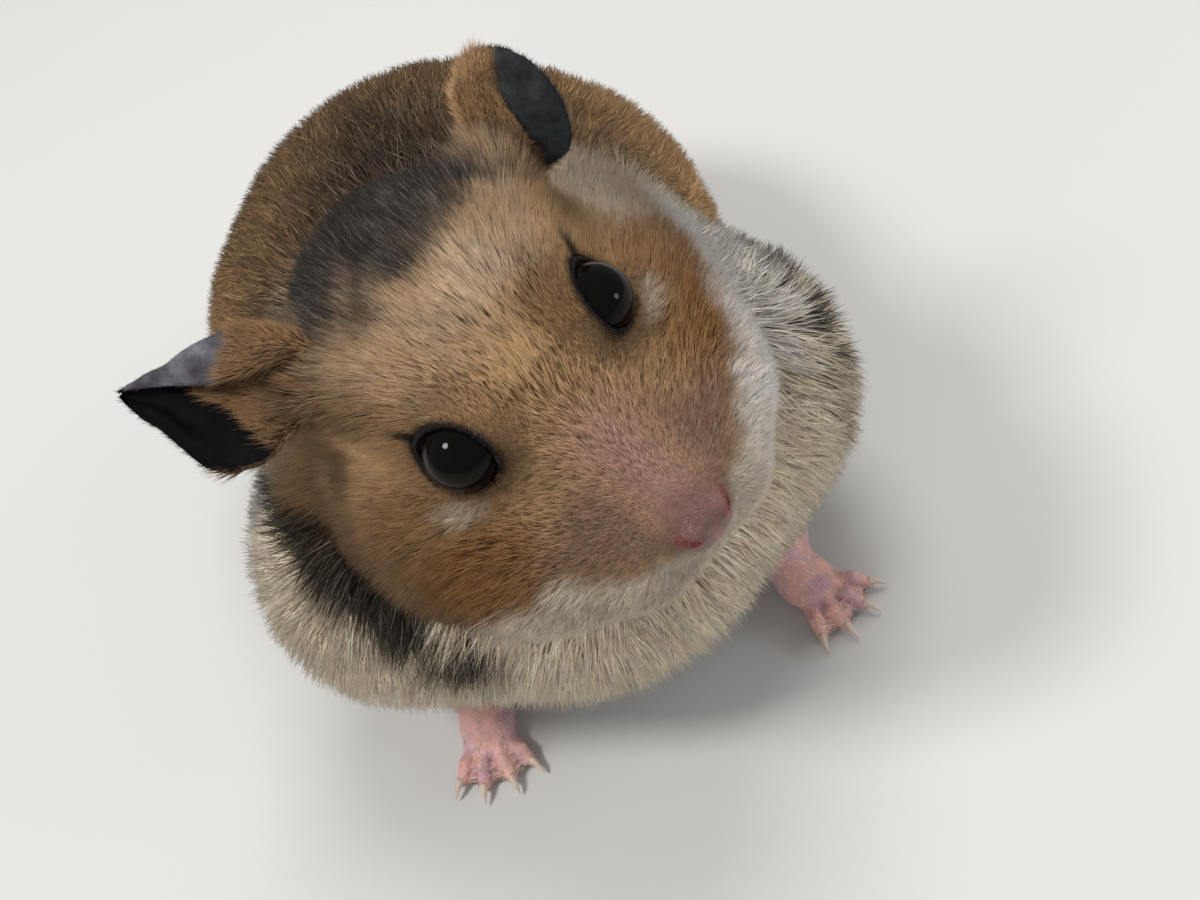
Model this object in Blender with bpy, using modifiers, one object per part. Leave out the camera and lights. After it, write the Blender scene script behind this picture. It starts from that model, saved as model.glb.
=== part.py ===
"""A life-size still model of a Syrian (golden) hamster, crouched on all four feet with its head
lifted and turned a little to its own left. Lengths below are in millimetres and become metres at
the end. Frame: +Z up, the animal faces -Y, its left side is +X, and the floor is z = 0.
The outline includes the coat. The body is blocked out from ellipsoids and limb runs, fused with a
voxel remesh, drawn onto one smooth-blended surface, and then parted into named pieces by thin cuts."""

import math

import bmesh
import bpy
import numpy as np
from mathutils import Matrix, Vector

MM = 0.001
GAP = 0.35  # clearance between neighbouring pieces

# ------------------------------------------------------------------ stance
HEAD_AT = np.array([0.0, -22.0, 50.0])  # middle of the skull, between eyes and ears
HEAD_YAW, HEAD_PITCH, HEAD_ROLL = 20.0, 2.0, 8.0  # turned to its left, nose up, left side up
HAND_L, HAND_R = np.array([18.0, -25.5]), np.array([-19.5, -22.5])  # palm centres on the floor
HAND_TURN_L, HAND_TURN_R = 24.0, -12.0  # degrees of the toes outwards (+ = to its left)
HEEL_L, HEEL_R = np.array([19.5, 20.0]), np.array([-19.5, 20.0])
FOOT_TURN_L, FOOT_TURN_R = 14.0, -14.0
FOOT_LENGTH = 19.0
EYE_R = 3.5
EYE_AT = np.array([7.3, -6.0, 3.3])  # in the head frame, left eye


def turn(axis, degrees):
    """3x3 rotation about a world axis."""
    return np.array(Matrix.Rotation(math.radians(degrees), 3, axis))


HEAD_R = turn("Z", HEAD_YAW) @ turn("X", -HEAD_PITCH) @ turn("Y", -HEAD_ROLL)


def head_point(x, y, z):
    """World position of a point given in the head frame (x left, y back, z up)."""
    return HEAD_AT + HEAD_R @ np.array([x, y, z], float)


# ------------------------------------------------------------------ blended surface
def ellipsoid(c, r, k=6.0, R=None):
    return ("ell", np.array(c, float), np.array(r, float), np.eye(3) if R is None else R, k)


def run(a, b, ra, rb, k=6.0):
    """A limb length: a cone with round ends."""
    return ("run", np.array(a, float), np.array(b, float), (float(ra), float(rb)), k)


def distance(p, shape):
    kind = shape[0]
    if kind == "ell":
        _, c, r, R, _ = shape
        q = (p - c) @ R
        k0 = np.linalg.norm(q / r, axis=1)
        k1 = np.linalg.norm(q / (r * r), axis=1)
        return k0 * (k0 - 1.0) / np.maximum(k1, 1e-9)
    _, a, b, (ra, rb), _ = shape
    ba = b - a
    l2 = ba @ ba
    rr = ra - rb
    a2 = l2 - rr * rr
    pa = p - a
    y = pa @ ba
    z = y - l2
    x2 = ((pa * l2 - np.outer(y, ba)) ** 2).sum(1)
    y2 = y * y * l2
    z2 = z * z * l2
    k = np.sign(rr) * rr * rr * x2
    out = (np.sqrt(np.maximum(x2 * a2 / l2, 0)) + y * rr) / l2 - ra
    low = np.sign(y) * a2 * y2 < k
    high = np.sign(z) * a2 * z2 > k
    out = np.where(low, np.sqrt(np.maximum(x2 + y2, 0)) / l2 - ra, out)
    out = np.where(high, np.sqrt(np.maximum(x2 + z2, 0)) / l2 - rb, out)
    return out


def blend(d, e, k):
    h = np.clip(0.5 + 0.5 * (e - d) / k, 0, 1)
    return e * (1 - h) + d * h - k * h * (1 - h)


def field(p, shapes):
    d = np.full(len(p), 1e3)
    for s in shapes:
        d = blend(d, distance(p, s), s[-1])
    return d


def slope(p, shapes, e=0.05):
    g = np.empty_like(p)
    for i in range(3):
        o = np.zeros(3)
        o[i] = e
        g[:, i] = field(p + o, shapes) - field(p - o, shapes)
    return g / np.maximum(np.linalg.norm(g, axis=1), 1e-9)[:, None]


# ------------------------------------------------------------------ anatomy
def head_shapes():
    def e(c, r, k):
        return ellipsoid(head_point(*c), r, k, HEAD_R)

    shapes = [
        e((0, 6.0, 1.6), (13.8, 15.2, 13.8), 6),  # skull
        run(head_point(0, -3, -2.8), head_point(0, -17.0, -5.6), 9.6, 5.9, 5),  # muzzle
        run(head_point(0, -4, -8.8), head_point(0, -15.8, -10.0), 7.5, 3.9, 4),  # lower jaw
    ]
    for side in (1, -1):
        shapes += [
            e((side * 10.2, 0.5, -7.0), (10.2, 13.5, 9.6), 4),  # cheek
            e((side * 8.4, -9.6, -8.0), (8.6, 9.0, 6.8), 4),  # jowl
            e((side * 4.9, -16.2, -7.6), (5.4, 6.0, 5.2), 3),  # whisker pad
            e((side * 5.6, -4.6, 3.6), (3.4, 4.6, 3.8), 3),  # brow
            e((side * 12.2, 8.6, 8.0), (4.2, 4.6, 4.4), 4),  # base of the ear
        ]
    shapes.append(e((0, -21.6, -4.2), (2.5, 1.8, 2.1), 1.6))  # nose pad
    return shapes


def trunk_shapes():
    shapes = [
        ellipsoid((0, 23, 21.0), (25, 24.5, 21.8), 8),  # rump
        ellipsoid((0, 11, 27), (24.5, 21.5, 22), 12, turn("X", -35)),  # back
        ellipsoid((0, -3, 32.5), (21, 18, 19.5), 12),  # chest
        ellipsoid((0, -11, 38.5), (21.5, 15, 15), 8),  # nape and throat
        ellipsoid((0, -19.5, 21.5), (20, 17, 15), 8),  # breast
    ]
    for side in (1, -1):
        shapes += [
            ellipsoid((side * 19, 21, 17.5), (11.5, 18.5, 15.5), 6, turn("Z", 8 * side)),  # haunch
            ellipsoid((side * 17.8, -13, 23.5), (14.6, 15.5, 16.0), 7),  # shoulder and elbow
        ]
    shapes.append(run((0, 41, 12), (0, 48.0, 8.0), 4.5, 2.4, 4))  # root of the tail
    return shapes


def arm_shapes(side):
    hand = HAND_L if side > 0 else HAND_R
    wrist = np.array([hand[0] - side * 0.6, hand[1] + 4.6, 5.2])
    elbow = np.array([side * 17.0, -8.0, 14.5])
    return [run(elbow, wrist, 6.4, 3.3, 4)]


def shank_shapes(side):
    heel = HEEL_L if side > 0 else HEEL_R
    return [run((side * 20.5, 14.0, 13.0), (heel[0], heel[1] + 1.0, 6.5), 6.5, 4.4, 4)]


def body_shapes():
    shapes = trunk_shapes()
    for side in (1, -1):
        shapes += arm_shapes(side) + shank_shapes(side)
    return shapes + head_shapes()


def hand_shapes(side):
    at = HAND_L if side > 0 else HAND_R
    yaw = HAND_TURN_L if side > 0 else HAND_TURN_R
    R = turn("Z", yaw)

    def w(x, y, z):
        return np.array([at[0], at[1], 0]) + R @ np.array([x, y, z])

    shapes = [
        run(w(0, 4.5, 4.6), w(0, 1.2, 2.6), 2.7, 2.5, 1.5),
        ellipsoid(w(0, 0, 1.9), (3.1, 3.5, 1.9), 1.5, R),
    ]
    for i, (angle, start, length) in enumerate(
        ((-34, -2.1, 3.3), (-11, -0.8, 4.1), (11, 0.7, 4.1), (33, 2.0, 3.4))
    ):
        f = turn("Z", angle) @ np.array([0, -1.0, 0])
        base = np.array([start, -2.0, 1.5])
        knuckle = base + f * length * 0.55 + np.array([0, 0, 0.35])
        tip = base + f * length + np.array([0, 0, -0.55])
        claw = tip + f * 1.3 + np.array([0, 0, -0.25])
        shapes.append(run(w(*base), w(*knuckle), 1.05, 0.85, 0.5))
        shapes.append(run(w(*knuckle), w(*tip), 0.85, 0.75, 0.3))
        shapes.append(run(w(*tip), w(*claw), 0.5, 0.28, 0.2))
    return shapes


def foot_shapes(side):
    heel = HEEL_L if side > 0 else HEEL_R
    yaw = FOOT_TURN_L if side > 0 else FOOT_TURN_R
    R = turn("Z", yaw)

    def w(x, y, z):
        return np.array([heel[0], heel[1], 0]) + R @ np.array([x, y, z])

    n = FOOT_LENGTH - 5.0
    shapes = [
        run(w(0, 0, 3.0), w(0, -n * 0.55, 2.4), 3.0, 2.7, 2),
        ellipsoid(w(0, -n + 2.0, 1.9), (4.1, 5.0, 2.1), 2, R),
    ]
    for angle, start, length in (
        (-40, -3.0, 3.0),
        (-17, -2.1, 4.6),
        (0, 0.0, 5.0),
        (17, 2.1, 4.6),
        (38, 3.1, 3.4),
    ):
        f = turn("Z", angle) @ np.array([0, -1.0, 0])
        base = np.array([start, -n + (-1.2 if abs(start) < 3 else 1.2), 1.5])
        knuckle = base + f * length * 0.55 + np.array([0, 0, 0.35])
        tip = base + f * length + np.array([0, 0, -0.5])
        claw = tip + f * 1.5 + np.array([0, 0, -0.25])
        shapes.append(run(w(*base), w(*knuckle), 1.15, 0.95, 0.5))
        shapes.append(run(w(*knuckle), w(*tip), 0.95, 0.8, 0.3))
        shapes.append(run(w(*tip), w(*claw), 0.5, 0.28, 0.2))
    return shapes


def tail_shapes():
    return [run((0, 46, 10.5), (0, 52.5, 6.4), 2.6, 2.0, 1), run((0, 52.5, 6.4), (0, 56.5, 4.8), 2.0, 1.4, 1)]


# ------------------------------------------------------------------ mesh helpers
def clear_scene():
    for obj in list(bpy.data.objects):
        bpy.data.objects.remove(obj, do_unlink=True)


def collection(name, hidden=False):
    made = bpy.data.collections.new(name)
    bpy.context.scene.collection.children.link(made)
    made.hide_render = hidden
    return made


def add_object(name, mesh, where):
    obj = bpy.data.objects.new(name, mesh)
    where.objects.link(obj)
    return obj


def unit_ball(u, v):
    """Vertices and faces of one primitive sphere, to be repeated."""
    bm = bmesh.new()
    bmesh.ops.create_uvsphere(bm, u_segments=u, v_segments=v, radius=1.0)
    points = np.array([vert.co for vert in bm.verts])
    faces = [tuple(vert.index for vert in face.verts) for face in bm.faces]
    bm.free()
    return points, faces


def blockout(shapes, name, grow=0.0):
    """One mesh of overlapping primitives, one for each ellipsoid and several along each limb run."""
    ball, ball_faces = unit_ball(16, 10)
    points, faces = [], []

    def place(c, r, R):
        start = len(points) * len(ball)
        points.append((ball * (np.asarray(r) + grow)) @ np.asarray(R).T + c)
        faces.extend(tuple(i + start for i in face) for face in ball_faces)

    for s in shapes:
        if s[0] == "ell":
            place(s[1], s[2], s[3])
        else:
            a, b, (ra, rb) = s[1], s[2], s[3]
            steps = max(2, int(np.linalg.norm(b - a) / (0.6 * min(ra, rb))) + 1)
            for i in range(steps + 1):
                t = i / steps
                place(a + (b - a) * t, np.full(3, ra + (rb - ra) * t), np.eye(3))
    mesh = bpy.data.meshes.new(name)
    mesh.from_pydata((np.concatenate(points) * MM).tolist(), [], faces)
    mesh.update()
    return mesh


def evaluated_mesh(obj):
    graph = bpy.context.evaluated_depsgraph_get()
    return bpy.data.meshes.new_from_object(obj.evaluated_get(graph))


def drawn_surface(name, shapes, voxel, offset=0.0, floor=False, relax=6):
    """The blended surface of these shapes, moved out by offset, as one closed quad mesh."""
    helper = add_object("blockout_" + name, blockout(shapes, "blockout_" + name, offset), helpers)
    helper.hide_render = True
    helper.display_type = "WIRE"
    fuse = helper.modifiers.new("fuse", "REMESH")
    fuse.mode = "VOXEL"
    fuse.voxel_size = voxel * MM
    bpy.context.view_layer.update()
    mesh = evaluated_mesh(helper)
    bpy.data.objects.remove(helper, do_unlink=True)
    mesh.name = name
    points = np.empty(len(mesh.vertices) * 3)
    mesh.vertices.foreach_get("co", points)
    points = points.reshape(-1, 3) / MM
    edges = np.empty(len(mesh.edges) * 2, int)
    mesh.edges.foreach_get("vertices", edges)
    edges = edges.reshape(-1, 2)

    def settle(p, times):
        for _ in range(times):
            d = field(p, shapes) - offset
            p = p - slope(p, shapes) * np.clip(d, -voxel, voxel)[:, None]
        return p

    points = settle(points, 5)
    count = np.bincount(edges.ravel(), minlength=len(points))[:, None]
    for _ in range(relax):
        total = np.zeros_like(points)
        np.add.at(total, edges[:, 0], points[edges[:, 1]])
        np.add.at(total, edges[:, 1], points[edges[:, 0]])
        move = total / count - points
        n = slope(points, shapes)
        points = points + 0.6 * (move - n * (move * n).sum(1)[:, None])
        points = settle(points, 2)
    mesh.vertices.foreach_set("co", (points * MM).ravel())
    mesh.update()
    return mesh


def simplified(mesh, share):
    """The same closed surface with fewer faces, kept where it curves most."""
    obj = add_object("work_simple", mesh, parts)
    mod = obj.modifiers.new("fewer", "DECIMATE")
    mod.ratio = share
    bpy.context.view_layer.update()
    out = evaluated_mesh(obj)
    bpy.data.objects.remove(obj, do_unlink=True)
    return out


def pushed_out(name, mesh, shapes, offset):
    """A copy of a drawn surface with every corner moved outwards."""
    out = mesh.copy()
    out.name = name
    points = np.empty(len(out.vertices) * 3)
    out.vertices.foreach_get("co", points)
    points = points.reshape(-1, 3) / MM
    points = points + slope(points, shapes) * offset
    out.vertices.foreach_set("co", (points * MM).ravel())
    out.update()
    return out


def cutter_box(name, centre, size, R=None):
    bm = bmesh.new()
    m = Matrix.Translation(Vector(np.asarray(centre) * MM))
    m = m @ Matrix((np.eye(3) if R is None else R).tolist()).to_4x4()
    m = m @ Matrix.Diagonal(Vector((*(np.asarray(size) * MM), 1.0)))
    bmesh.ops.create_cube(bm, size=1.0, matrix=m)
    mesh = bpy.data.meshes.new(name)
    bm.to_mesh(mesh)
    bm.free()
    return as_cutter(name, mesh)


def cutter_ball(name, centre, radii, R=None, u=24, v=14):
    bm = bmesh.new()
    m = Matrix.Translation(Vector(np.asarray(centre) * MM))
    m = m @ Matrix((np.eye(3) if R is None else R).tolist()).to_4x4()
    m = m @ Matrix.Diagonal(Vector((*(np.asarray(radii) * MM), 1.0)))
    bmesh.ops.create_uvsphere(bm, u_segments=u, v_segments=v, radius=1.0, matrix=m)
    mesh = bpy.data.meshes.new(name)
    bm.to_mesh(mesh)
    bm.free()
    return as_cutter(name, mesh)


def as_cutter(name, mesh):
    obj = add_object(name, mesh, helpers)
    obj.hide_render = True
    obj.display_type = "WIRE"
    return obj


def carved(name, mesh, cuts):
    """The mesh after each (cutter, operation) in turn, as a plain closed mesh."""
    obj = add_object("work_" + name, mesh, parts)
    for cutter, operation in cuts:
        mod = obj.modifiers.new(operation.lower(), "BOOLEAN")
        mod.operation = operation
        mod.object = cutter
        mod.solver = "EXACT"
    bpy.context.view_layer.update()
    out = evaluated_mesh(obj)
    bpy.data.objects.remove(obj, do_unlink=True)
    out.name = name
    keep_largest(out)
    return out


def keep_largest(mesh):
    """Drops stray islands that a cut leaves."""
    bm = bmesh.new()
    bm.from_mesh(mesh)
    bm.verts.ensure_lookup_table()
    seen, groups = set(), []
    for v in bm.verts:
        if v.index in seen:
            continue
        stack, group = [v], []
        seen.add(v.index)
        while stack:
            w = stack.pop()
            group.append(w)
            for e in w.link_edges:
                o = e.other_vert(w)
                if o.index not in seen:
                    seen.add(o.index)
                    stack.append(o)
        groups.append(group)
    groups.sort(key=len, reverse=True)
    for group in groups[1:]:
        bmesh.ops.delete(bm, geom=group, context="VERTS")
    bm.to_mesh(mesh)
    bm.free()


# ------------------------------------------------------------------ ears
# In the head frame: root centre, direction of the tip, direction that the hollow faces, reach of the
# tip from the root centre, half width of the blade, and how far it is rolled at the root and the tip.
EARS = {
    1: dict(root=(14.6, 9.4, 9.0), axis=(0.37, -0.37, 0.85), hollow=(0.87, 0.34, -0.25), reach=9.6, width=5.4,
            roll_root=100, roll_tip=60, edges=(1.0, 1.0), flop=0.3, deep=0.35),
    -1: dict(root=(-14.4, 9.0, 9.0), axis=(-0.56, 0.70, 0.44), hollow=(-0.133, -0.602, 0.787), reach=12.0, width=6.0,
             roll_root=80, roll_tip=30, edges=(1.0, 0.62), flop=-1.0, deep=0.85),
}
EAR_THICK = 1.1
EAR_SINK = 5.0  # how far the blade goes on below the root centre, into the coat
EAR_ACROSS, EAR_ALONG = 9, 8


def ear_axes(side):
    spec = EARS[side]
    a = np.array(spec["axis"], float)
    a /= np.linalg.norm(a)
    n = np.array(spec["hollow"], float)
    n -= a * (n @ a)
    n /= np.linalg.norm(n)
    w = np.cross(a, n) * side  # towards the rear or outer edge
    return a, n, w


def ear_width(t, full):
    """Half width of one edge as a share of its widest, from the root (0) to the tip (1).
    full is 1 for a rounded edge, and less for one that is drawn in towards the tip."""
    if t < 0.45:
        return 0.80 + 0.20 * math.sin(math.pi / 2 * max(t, 0.0) / 0.45)
    fall = (t - 0.45) / 0.55
    return max(0.0, 1.0 - fall ** (1.9 * full)) ** (0.62 / full ** 0.5)


def ear_point(side, u, t):
    """Middle of the blade in the head frame: u from edge (-1) to edge (+1), t from sunk root to tip."""
    spec = EARS[side]
    a, n, w = ear_axes(side)
    s = -EAR_SINK + (spec["reach"] + EAR_SINK) * t
    half = math.radians(spec["roll_root"] * (1 - t) ** 0.8 + spec["roll_tip"] * (1 - (1 - t) ** 0.8))
    wide = max(spec["width"] * ear_width(t, spec["edges"][0 if u > 0 else 1]), 0.5)
    radius = wide / math.sin(min(half, math.radians(90)))
    theta = half * u
    x = radius * math.sin(theta)
    deep = radius * (1 - math.cos(theta))
    bend = spec["flop"] * max(0.0, t - 0.5) ** 2 * 4
    return np.array(spec["root"], float) + a * s + w * x + n * (deep * spec["deep"] + bend)


def ear_mesh(side, name):
    bm = bmesh.new()
    rows = []
    for j in range(EAR_ALONG + 1):
        t = 0.985 * (1 - (1 - j / EAR_ALONG) ** 1.25)
        row = []
        for i in range(EAR_ACROSS + 1):
            p = HEAD_AT + HEAD_R @ ear_point(side, -1 + 2 * i / EAR_ACROSS, t)
            row.append(bm.verts.new(Vector(p * MM)))
        rows.append(row)
    for j in range(EAR_ALONG):
        for i in range(EAR_ACROSS):
            bm.faces.new((rows[j][i], rows[j][i + 1], rows[j + 1][i + 1], rows[j + 1][i]))
    mesh = bpy.data.meshes.new(name)
    bm.to_mesh(mesh)
    bm.free()
    obj = add_object("work_" + name, mesh, parts)
    thick = obj.modifiers.new("thickness", "SOLIDIFY")
    thick.thickness = EAR_THICK * MM
    thick.offset = 0.0
    bpy.context.view_layer.update()
    out = evaluated_mesh(obj)
    bpy.data.objects.remove(obj, do_unlink=True)
    bm = bmesh.new()
    bm.from_mesh(out)
    bmesh.ops.recalc_face_normals(bm, faces=bm.faces)
    bm.to_mesh(out)
    bm.free()
    return out


# ------------------------------------------------------------------ materials
def material(name, colour, rough, metallic=0.0):
    mat = bpy.data.materials.new(name)
    mat.use_nodes = True
    shader = mat.node_tree.nodes["Principled BSDF"]
    shader.inputs["Base Color"].default_value = (*colour, 1.0)
    shader.inputs["Roughness"].default_value = rough
    shader.inputs["Metallic"].default_value = metallic
    mat.diffuse_color = (*colour, 1.0)
    return mat


def half_space(name, point, R, forward):
    """A large block on the forward (or rear) side of a plane through point, half a gap away."""
    far = 60.0
    n = R @ np.array([0, -1.0, 0])
    shift = (far + GAP / 2) if forward else (far - GAP / 2)
    return cutter_box(name, np.asarray(point) + n * shift, np.full(3, 2 * far), R)


def main():
    coat = material("golden_coat", (0.42, 0.24, 0.11), 0.85)
    cream = material("cream_coat", (0.68, 0.58, 0.46), 0.85)
    pink = material("bare_skin", (0.62, 0.36, 0.33), 0.55)
    black = material("ear_skin", (0.035, 0.033, 0.036), 0.6)
    gloss = material("eye_black", (0.004, 0.003, 0.003), 0.04)

    body = body_shapes()
    surface = {
        "whole": simplified(drawn_surface("whole", body, 2.9), 0.176),
        "front": simplified(drawn_surface("front", body, 2.1), 0.213),
    }
    small = {}
    for side, tag in ((1, "left"), (-1, "right")):
        small["forefoot_" + tag] = simplified(
            drawn_surface("forefoot_" + tag, hand_shapes(side), 0.62, relax=3), 0.26)
        small["hindfoot_" + tag] = simplified(
            drawn_surface("hindfoot_" + tag, foot_shapes(side), 0.70, relax=3), 0.20)
        small["ear_" + tag] = ear_mesh(side, "ear_" + tag)
    small["tail"] = simplified(drawn_surface("tail", tail_shapes(), 1.0, relax=3), 0.3)

    grown = as_cutter("grown_body", pushed_out("grown_body", surface["whole"], body, GAP + 0.35))
    grown_head = as_cutter("grown_head", pushed_out("grown_head", surface["front"], body, GAP + 0.2))
    floor = cutter_box("floor_cut", (0, 10, -25), (200, 260, 50))
    face_R = turn("Z", HEAD_YAW * 0.7) @ turn("X", -38)
    nape_R = turn("Z", HEAD_YAW * 0.3) @ turn("X", -34)
    face_at, nape_at = np.array([-1.0, -12.5, 45.0]), np.array([0.0, -5.0, 43.0])
    face_front = half_space("face_front", face_at, face_R, True)
    face_near = half_space("face_near", face_at, face_R, False)
    nape_front = half_space("nape_front", nape_at, nape_R, True)
    nape_near = half_space("nape_near", nape_at, nape_R, False)

    limb = {}
    for side, tag in ((1, "left"), (-1, "right")):
        hand = HAND_L if side > 0 else HAND_R
        limb["foreleg_" + tag] = (
            np.array([side * 17.5, (-6 + hand[1]) / 2 + 2.0, 15.5]), np.array([8.5, 15.5, 15.8]), turn("Z", 4.0 * side))
        limb["hindleg_" + tag] = (np.array([side * 24.0, 20.0, 14.5]), np.array([11.0, 19.5, 17.5]), turn("Z", 8.0 * side))

    made = {}
    cuts = [(face_front, "INTERSECT")]
    for side, tag in ((1, "left"), (-1, "right")):
        at = head_point(EYE_AT[0] * side, EYE_AT[1], EYE_AT[2])
        cuts.append((cutter_ball("socket_" + tag, at, np.full(3, EYE_R + GAP), u=20, v=12), "DIFFERENCE"))
    made["head"] = (carved("head", surface["front"], cuts + [(floor, "DIFFERENCE")]), coat)
    made["neck"] = (
        carved("neck", surface["whole"], [(face_near, "DIFFERENCE"), (nape_front, "INTERSECT"), (floor, "DIFFERENCE")]),
        coat,
    )
    cuts = [(nape_near, "DIFFERENCE"), (floor, "DIFFERENCE")]
    for name, (c, r, R) in limb.items():
        cuts.append((cutter_ball("around_" + name, c, r + GAP, R), "DIFFERENCE"))
    made["trunk"] = (carved("trunk", surface["whole"], cuts), coat)
    for name, (c, r, R) in limb.items():
        cuts = [(cutter_ball("inside_" + name, c, r, R), "INTERSECT"), (floor, "DIFFERENCE")]
        if name.startswith("foreleg"):
            cuts.append((nape_near, "DIFFERENCE"))
        made[name] = (carved(name, surface["whole"], cuts), cream if name.startswith("foreleg") else coat)
    for name, mesh in small.items():
        cuts = [(grown_head, "DIFFERENCE")] if name.startswith("ear") else [(grown, "DIFFERENCE"), (floor, "DIFFERENCE")]
        made[name] = (carved(name, mesh, cuts), black if name.startswith("ear") else pink)

    pieces = {}
    for name, (mesh, mat) in made.items():
        mesh.materials.clear()
        mesh.materials.append(mat)
        mesh.shade_smooth()
        pieces[name] = add_object(name, mesh, parts)
    for side, tag in ((1, "left"), (-1, "right")):
        bm = bmesh.new()
        bmesh.ops.create_uvsphere(bm, u_segments=16, v_segments=10, radius=EYE_R * MM)
        mesh = bpy.data.meshes.new("eye_" + tag)
        bm.to_mesh(mesh)
        bm.free()
        mesh.materials.append(gloss)
        mesh.shade_smooth()
        obj = add_object("eye_" + tag, mesh, parts)
        obj.location = Vector(head_point(EYE_AT[0] * side, EYE_AT[1], EYE_AT[2]) * MM)
        pieces["eye_" + tag] = obj

    for obj in list(helpers.objects):
        bpy.data.objects.remove(obj, do_unlink=True)

    # origin: on the floor, under the middle of the whole outline
    bpy.context.view_layer.update()
    verts = np.concatenate([
        np.array([obj.matrix_world @ v.co for v in obj.data.vertices]) for obj in pieces.values()
    ])
    low, high = verts.min(0), verts.max(0)
    shift = Vector((-(low[0] + high[0]) / 2, -(low[1] + high[1]) / 2, -low[2]))
    for obj in pieces.values():
        obj.location = obj.location + shift
    print("SHIFT_MM", [round(x / MM, 3) for x in shift], "SIZE", ((high - low) / MM).round(1))


clear_scene()
parts = collection("syrian_hamster")
helpers = collection("cutters")
main()
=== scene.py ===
"""The looks of the life-size Syrian hamster: one skin over all the flesh, eyes, ears, claws, whiskers
and a coat of solid tufts, with plain materials, a pale floor, soft light and the camera.
Lengths are in millimetres in the stance frame and become metres in the row frame at the end."""

import math

import bpy
import numpy as np
from mathutils import Matrix, Vector
from mathutils.kdtree import KDTree


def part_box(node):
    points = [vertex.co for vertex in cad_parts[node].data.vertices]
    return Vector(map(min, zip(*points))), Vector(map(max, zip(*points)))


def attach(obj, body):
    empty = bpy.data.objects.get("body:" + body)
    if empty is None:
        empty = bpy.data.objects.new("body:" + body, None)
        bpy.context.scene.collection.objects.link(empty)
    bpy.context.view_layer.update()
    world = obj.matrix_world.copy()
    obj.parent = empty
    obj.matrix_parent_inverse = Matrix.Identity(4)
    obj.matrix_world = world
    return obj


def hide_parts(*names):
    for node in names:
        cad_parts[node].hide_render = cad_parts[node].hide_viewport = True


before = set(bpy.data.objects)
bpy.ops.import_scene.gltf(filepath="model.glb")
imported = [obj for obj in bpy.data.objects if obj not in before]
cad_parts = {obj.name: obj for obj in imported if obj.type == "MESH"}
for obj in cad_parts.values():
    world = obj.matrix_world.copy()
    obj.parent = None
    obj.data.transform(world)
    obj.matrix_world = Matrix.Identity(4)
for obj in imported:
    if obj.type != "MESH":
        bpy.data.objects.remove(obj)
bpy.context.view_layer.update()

MM = 0.001

# ------------------------------------------------------------------ stance, as the solids have it
HEAD_AT = np.array([0.0, -22.0, 50.0])
HEAD_YAW, HEAD_PITCH, HEAD_ROLL = 20.0, 2.0, 8.0
HAND_L, HAND_R = np.array([18.0, -25.5]), np.array([-19.5, -22.5])
HAND_TURN_L, HAND_TURN_R = 24.0, -12.0
HEEL_L, HEEL_R = np.array([19.5, 20.0]), np.array([-19.5, 20.0])
FOOT_TURN_L, FOOT_TURN_R = 14.0, -14.0
FOOT_LENGTH = 19.0
EYE_R = 3.5
EYE_AT = np.array([7.3, -6.0, 3.3])  # in the head frame, left eye
# In the head frame, for the left eye: where it looks, and the long axis of the lids towards the nose.
EYE_OUT = np.array([0.646, -0.446, 0.617])
EYE_LONG = np.array([-0.28, -0.88, -0.35])
EYE_OUTWARD = np.array([0.55, 0.05, 0.40])  # the cornea stands a little out of the lids


def turn(axis, degrees):
    return np.array(Matrix.Rotation(math.radians(degrees), 3, axis))


HEAD_TURN = turn("Z", HEAD_YAW) @ turn("X", -HEAD_PITCH) @ turn("Y", -HEAD_ROLL)


def head_point(x, y, z):
    return HEAD_AT + HEAD_TURN @ np.array([x, y, z], float)


def to_head(p):
    return (p - HEAD_AT) @ HEAD_TURN


_low, _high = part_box("eye_left")
SHIFT = (np.array(_low) + np.array(_high)) / 2 / MM - head_point(*EYE_AT)


def to_row(p):
    return (p + SHIFT) * MM


# ------------------------------------------------------------------ small numeric helpers
def step(a, b, x):
    """Smooth 0 to 1 as x goes from a to b."""
    t = np.clip((x - a) / (b - a), 0.0, 1.0)
    return t * t * (3 - 2 * t)


def mix(a, b, w):
    w = np.asarray(w)
    if w.ndim == 1 and (np.ndim(a) == 2 or np.ndim(b) == 2 or np.shape(b) == (3,)):
        w = w[:, None]
    return a * (1 - w) + b * w


def unit(v):
    return v / np.maximum(np.linalg.norm(v, axis=-1), 1e-9)[..., None]


def hashed(i, j, k, seed):
    n = (i * 73856093) ^ (j * 19349663) ^ (k * 83492791) ^ (seed * 26544357)
    n = n & 0xFFFFFFFF
    n = ((n ^ (n >> 13)) * 1274126177) & 0xFFFFFFFF
    n = ((n ^ (n >> 15)) * 668265263) & 0xFFFFFFFF
    return ((n ^ (n >> 16)) & 0xFFFF) / 65535.0


def noise(p, size, seed):
    """Smooth value noise, about -0.5 to 0.5."""
    q = p / size + 100.0
    cell = np.floor(q).astype(np.int64)
    f = q - cell
    f = f * f * (3 - 2 * f)
    out = np.zeros(len(p))
    for a in (0, 1):
        for b in (0, 1):
            for c in (0, 1):
                w = (f[:, 0] if a else 1 - f[:, 0]) * (f[:, 1] if b else 1 - f[:, 1]) * (f[:, 2] if c else 1 - f[:, 2])
                out += w * hashed(cell[:, 0] + a, cell[:, 1] + b, cell[:, 2] + c, seed)
    return out - 0.5


def noise3(p, size, seed):
    return np.stack([noise(p, size, seed + i) for i in range(3)], 1)


def to_segment(p, a, b):
    """Distance to the length a-b, and the share along it."""
    a, b = np.asarray(a, float), np.asarray(b, float)
    ba = b - a
    t = np.clip(((p - a) @ ba) / (ba @ ba), 0, 1)
    return np.linalg.norm(p - a - t[:, None] * ba, axis=1), t


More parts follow.
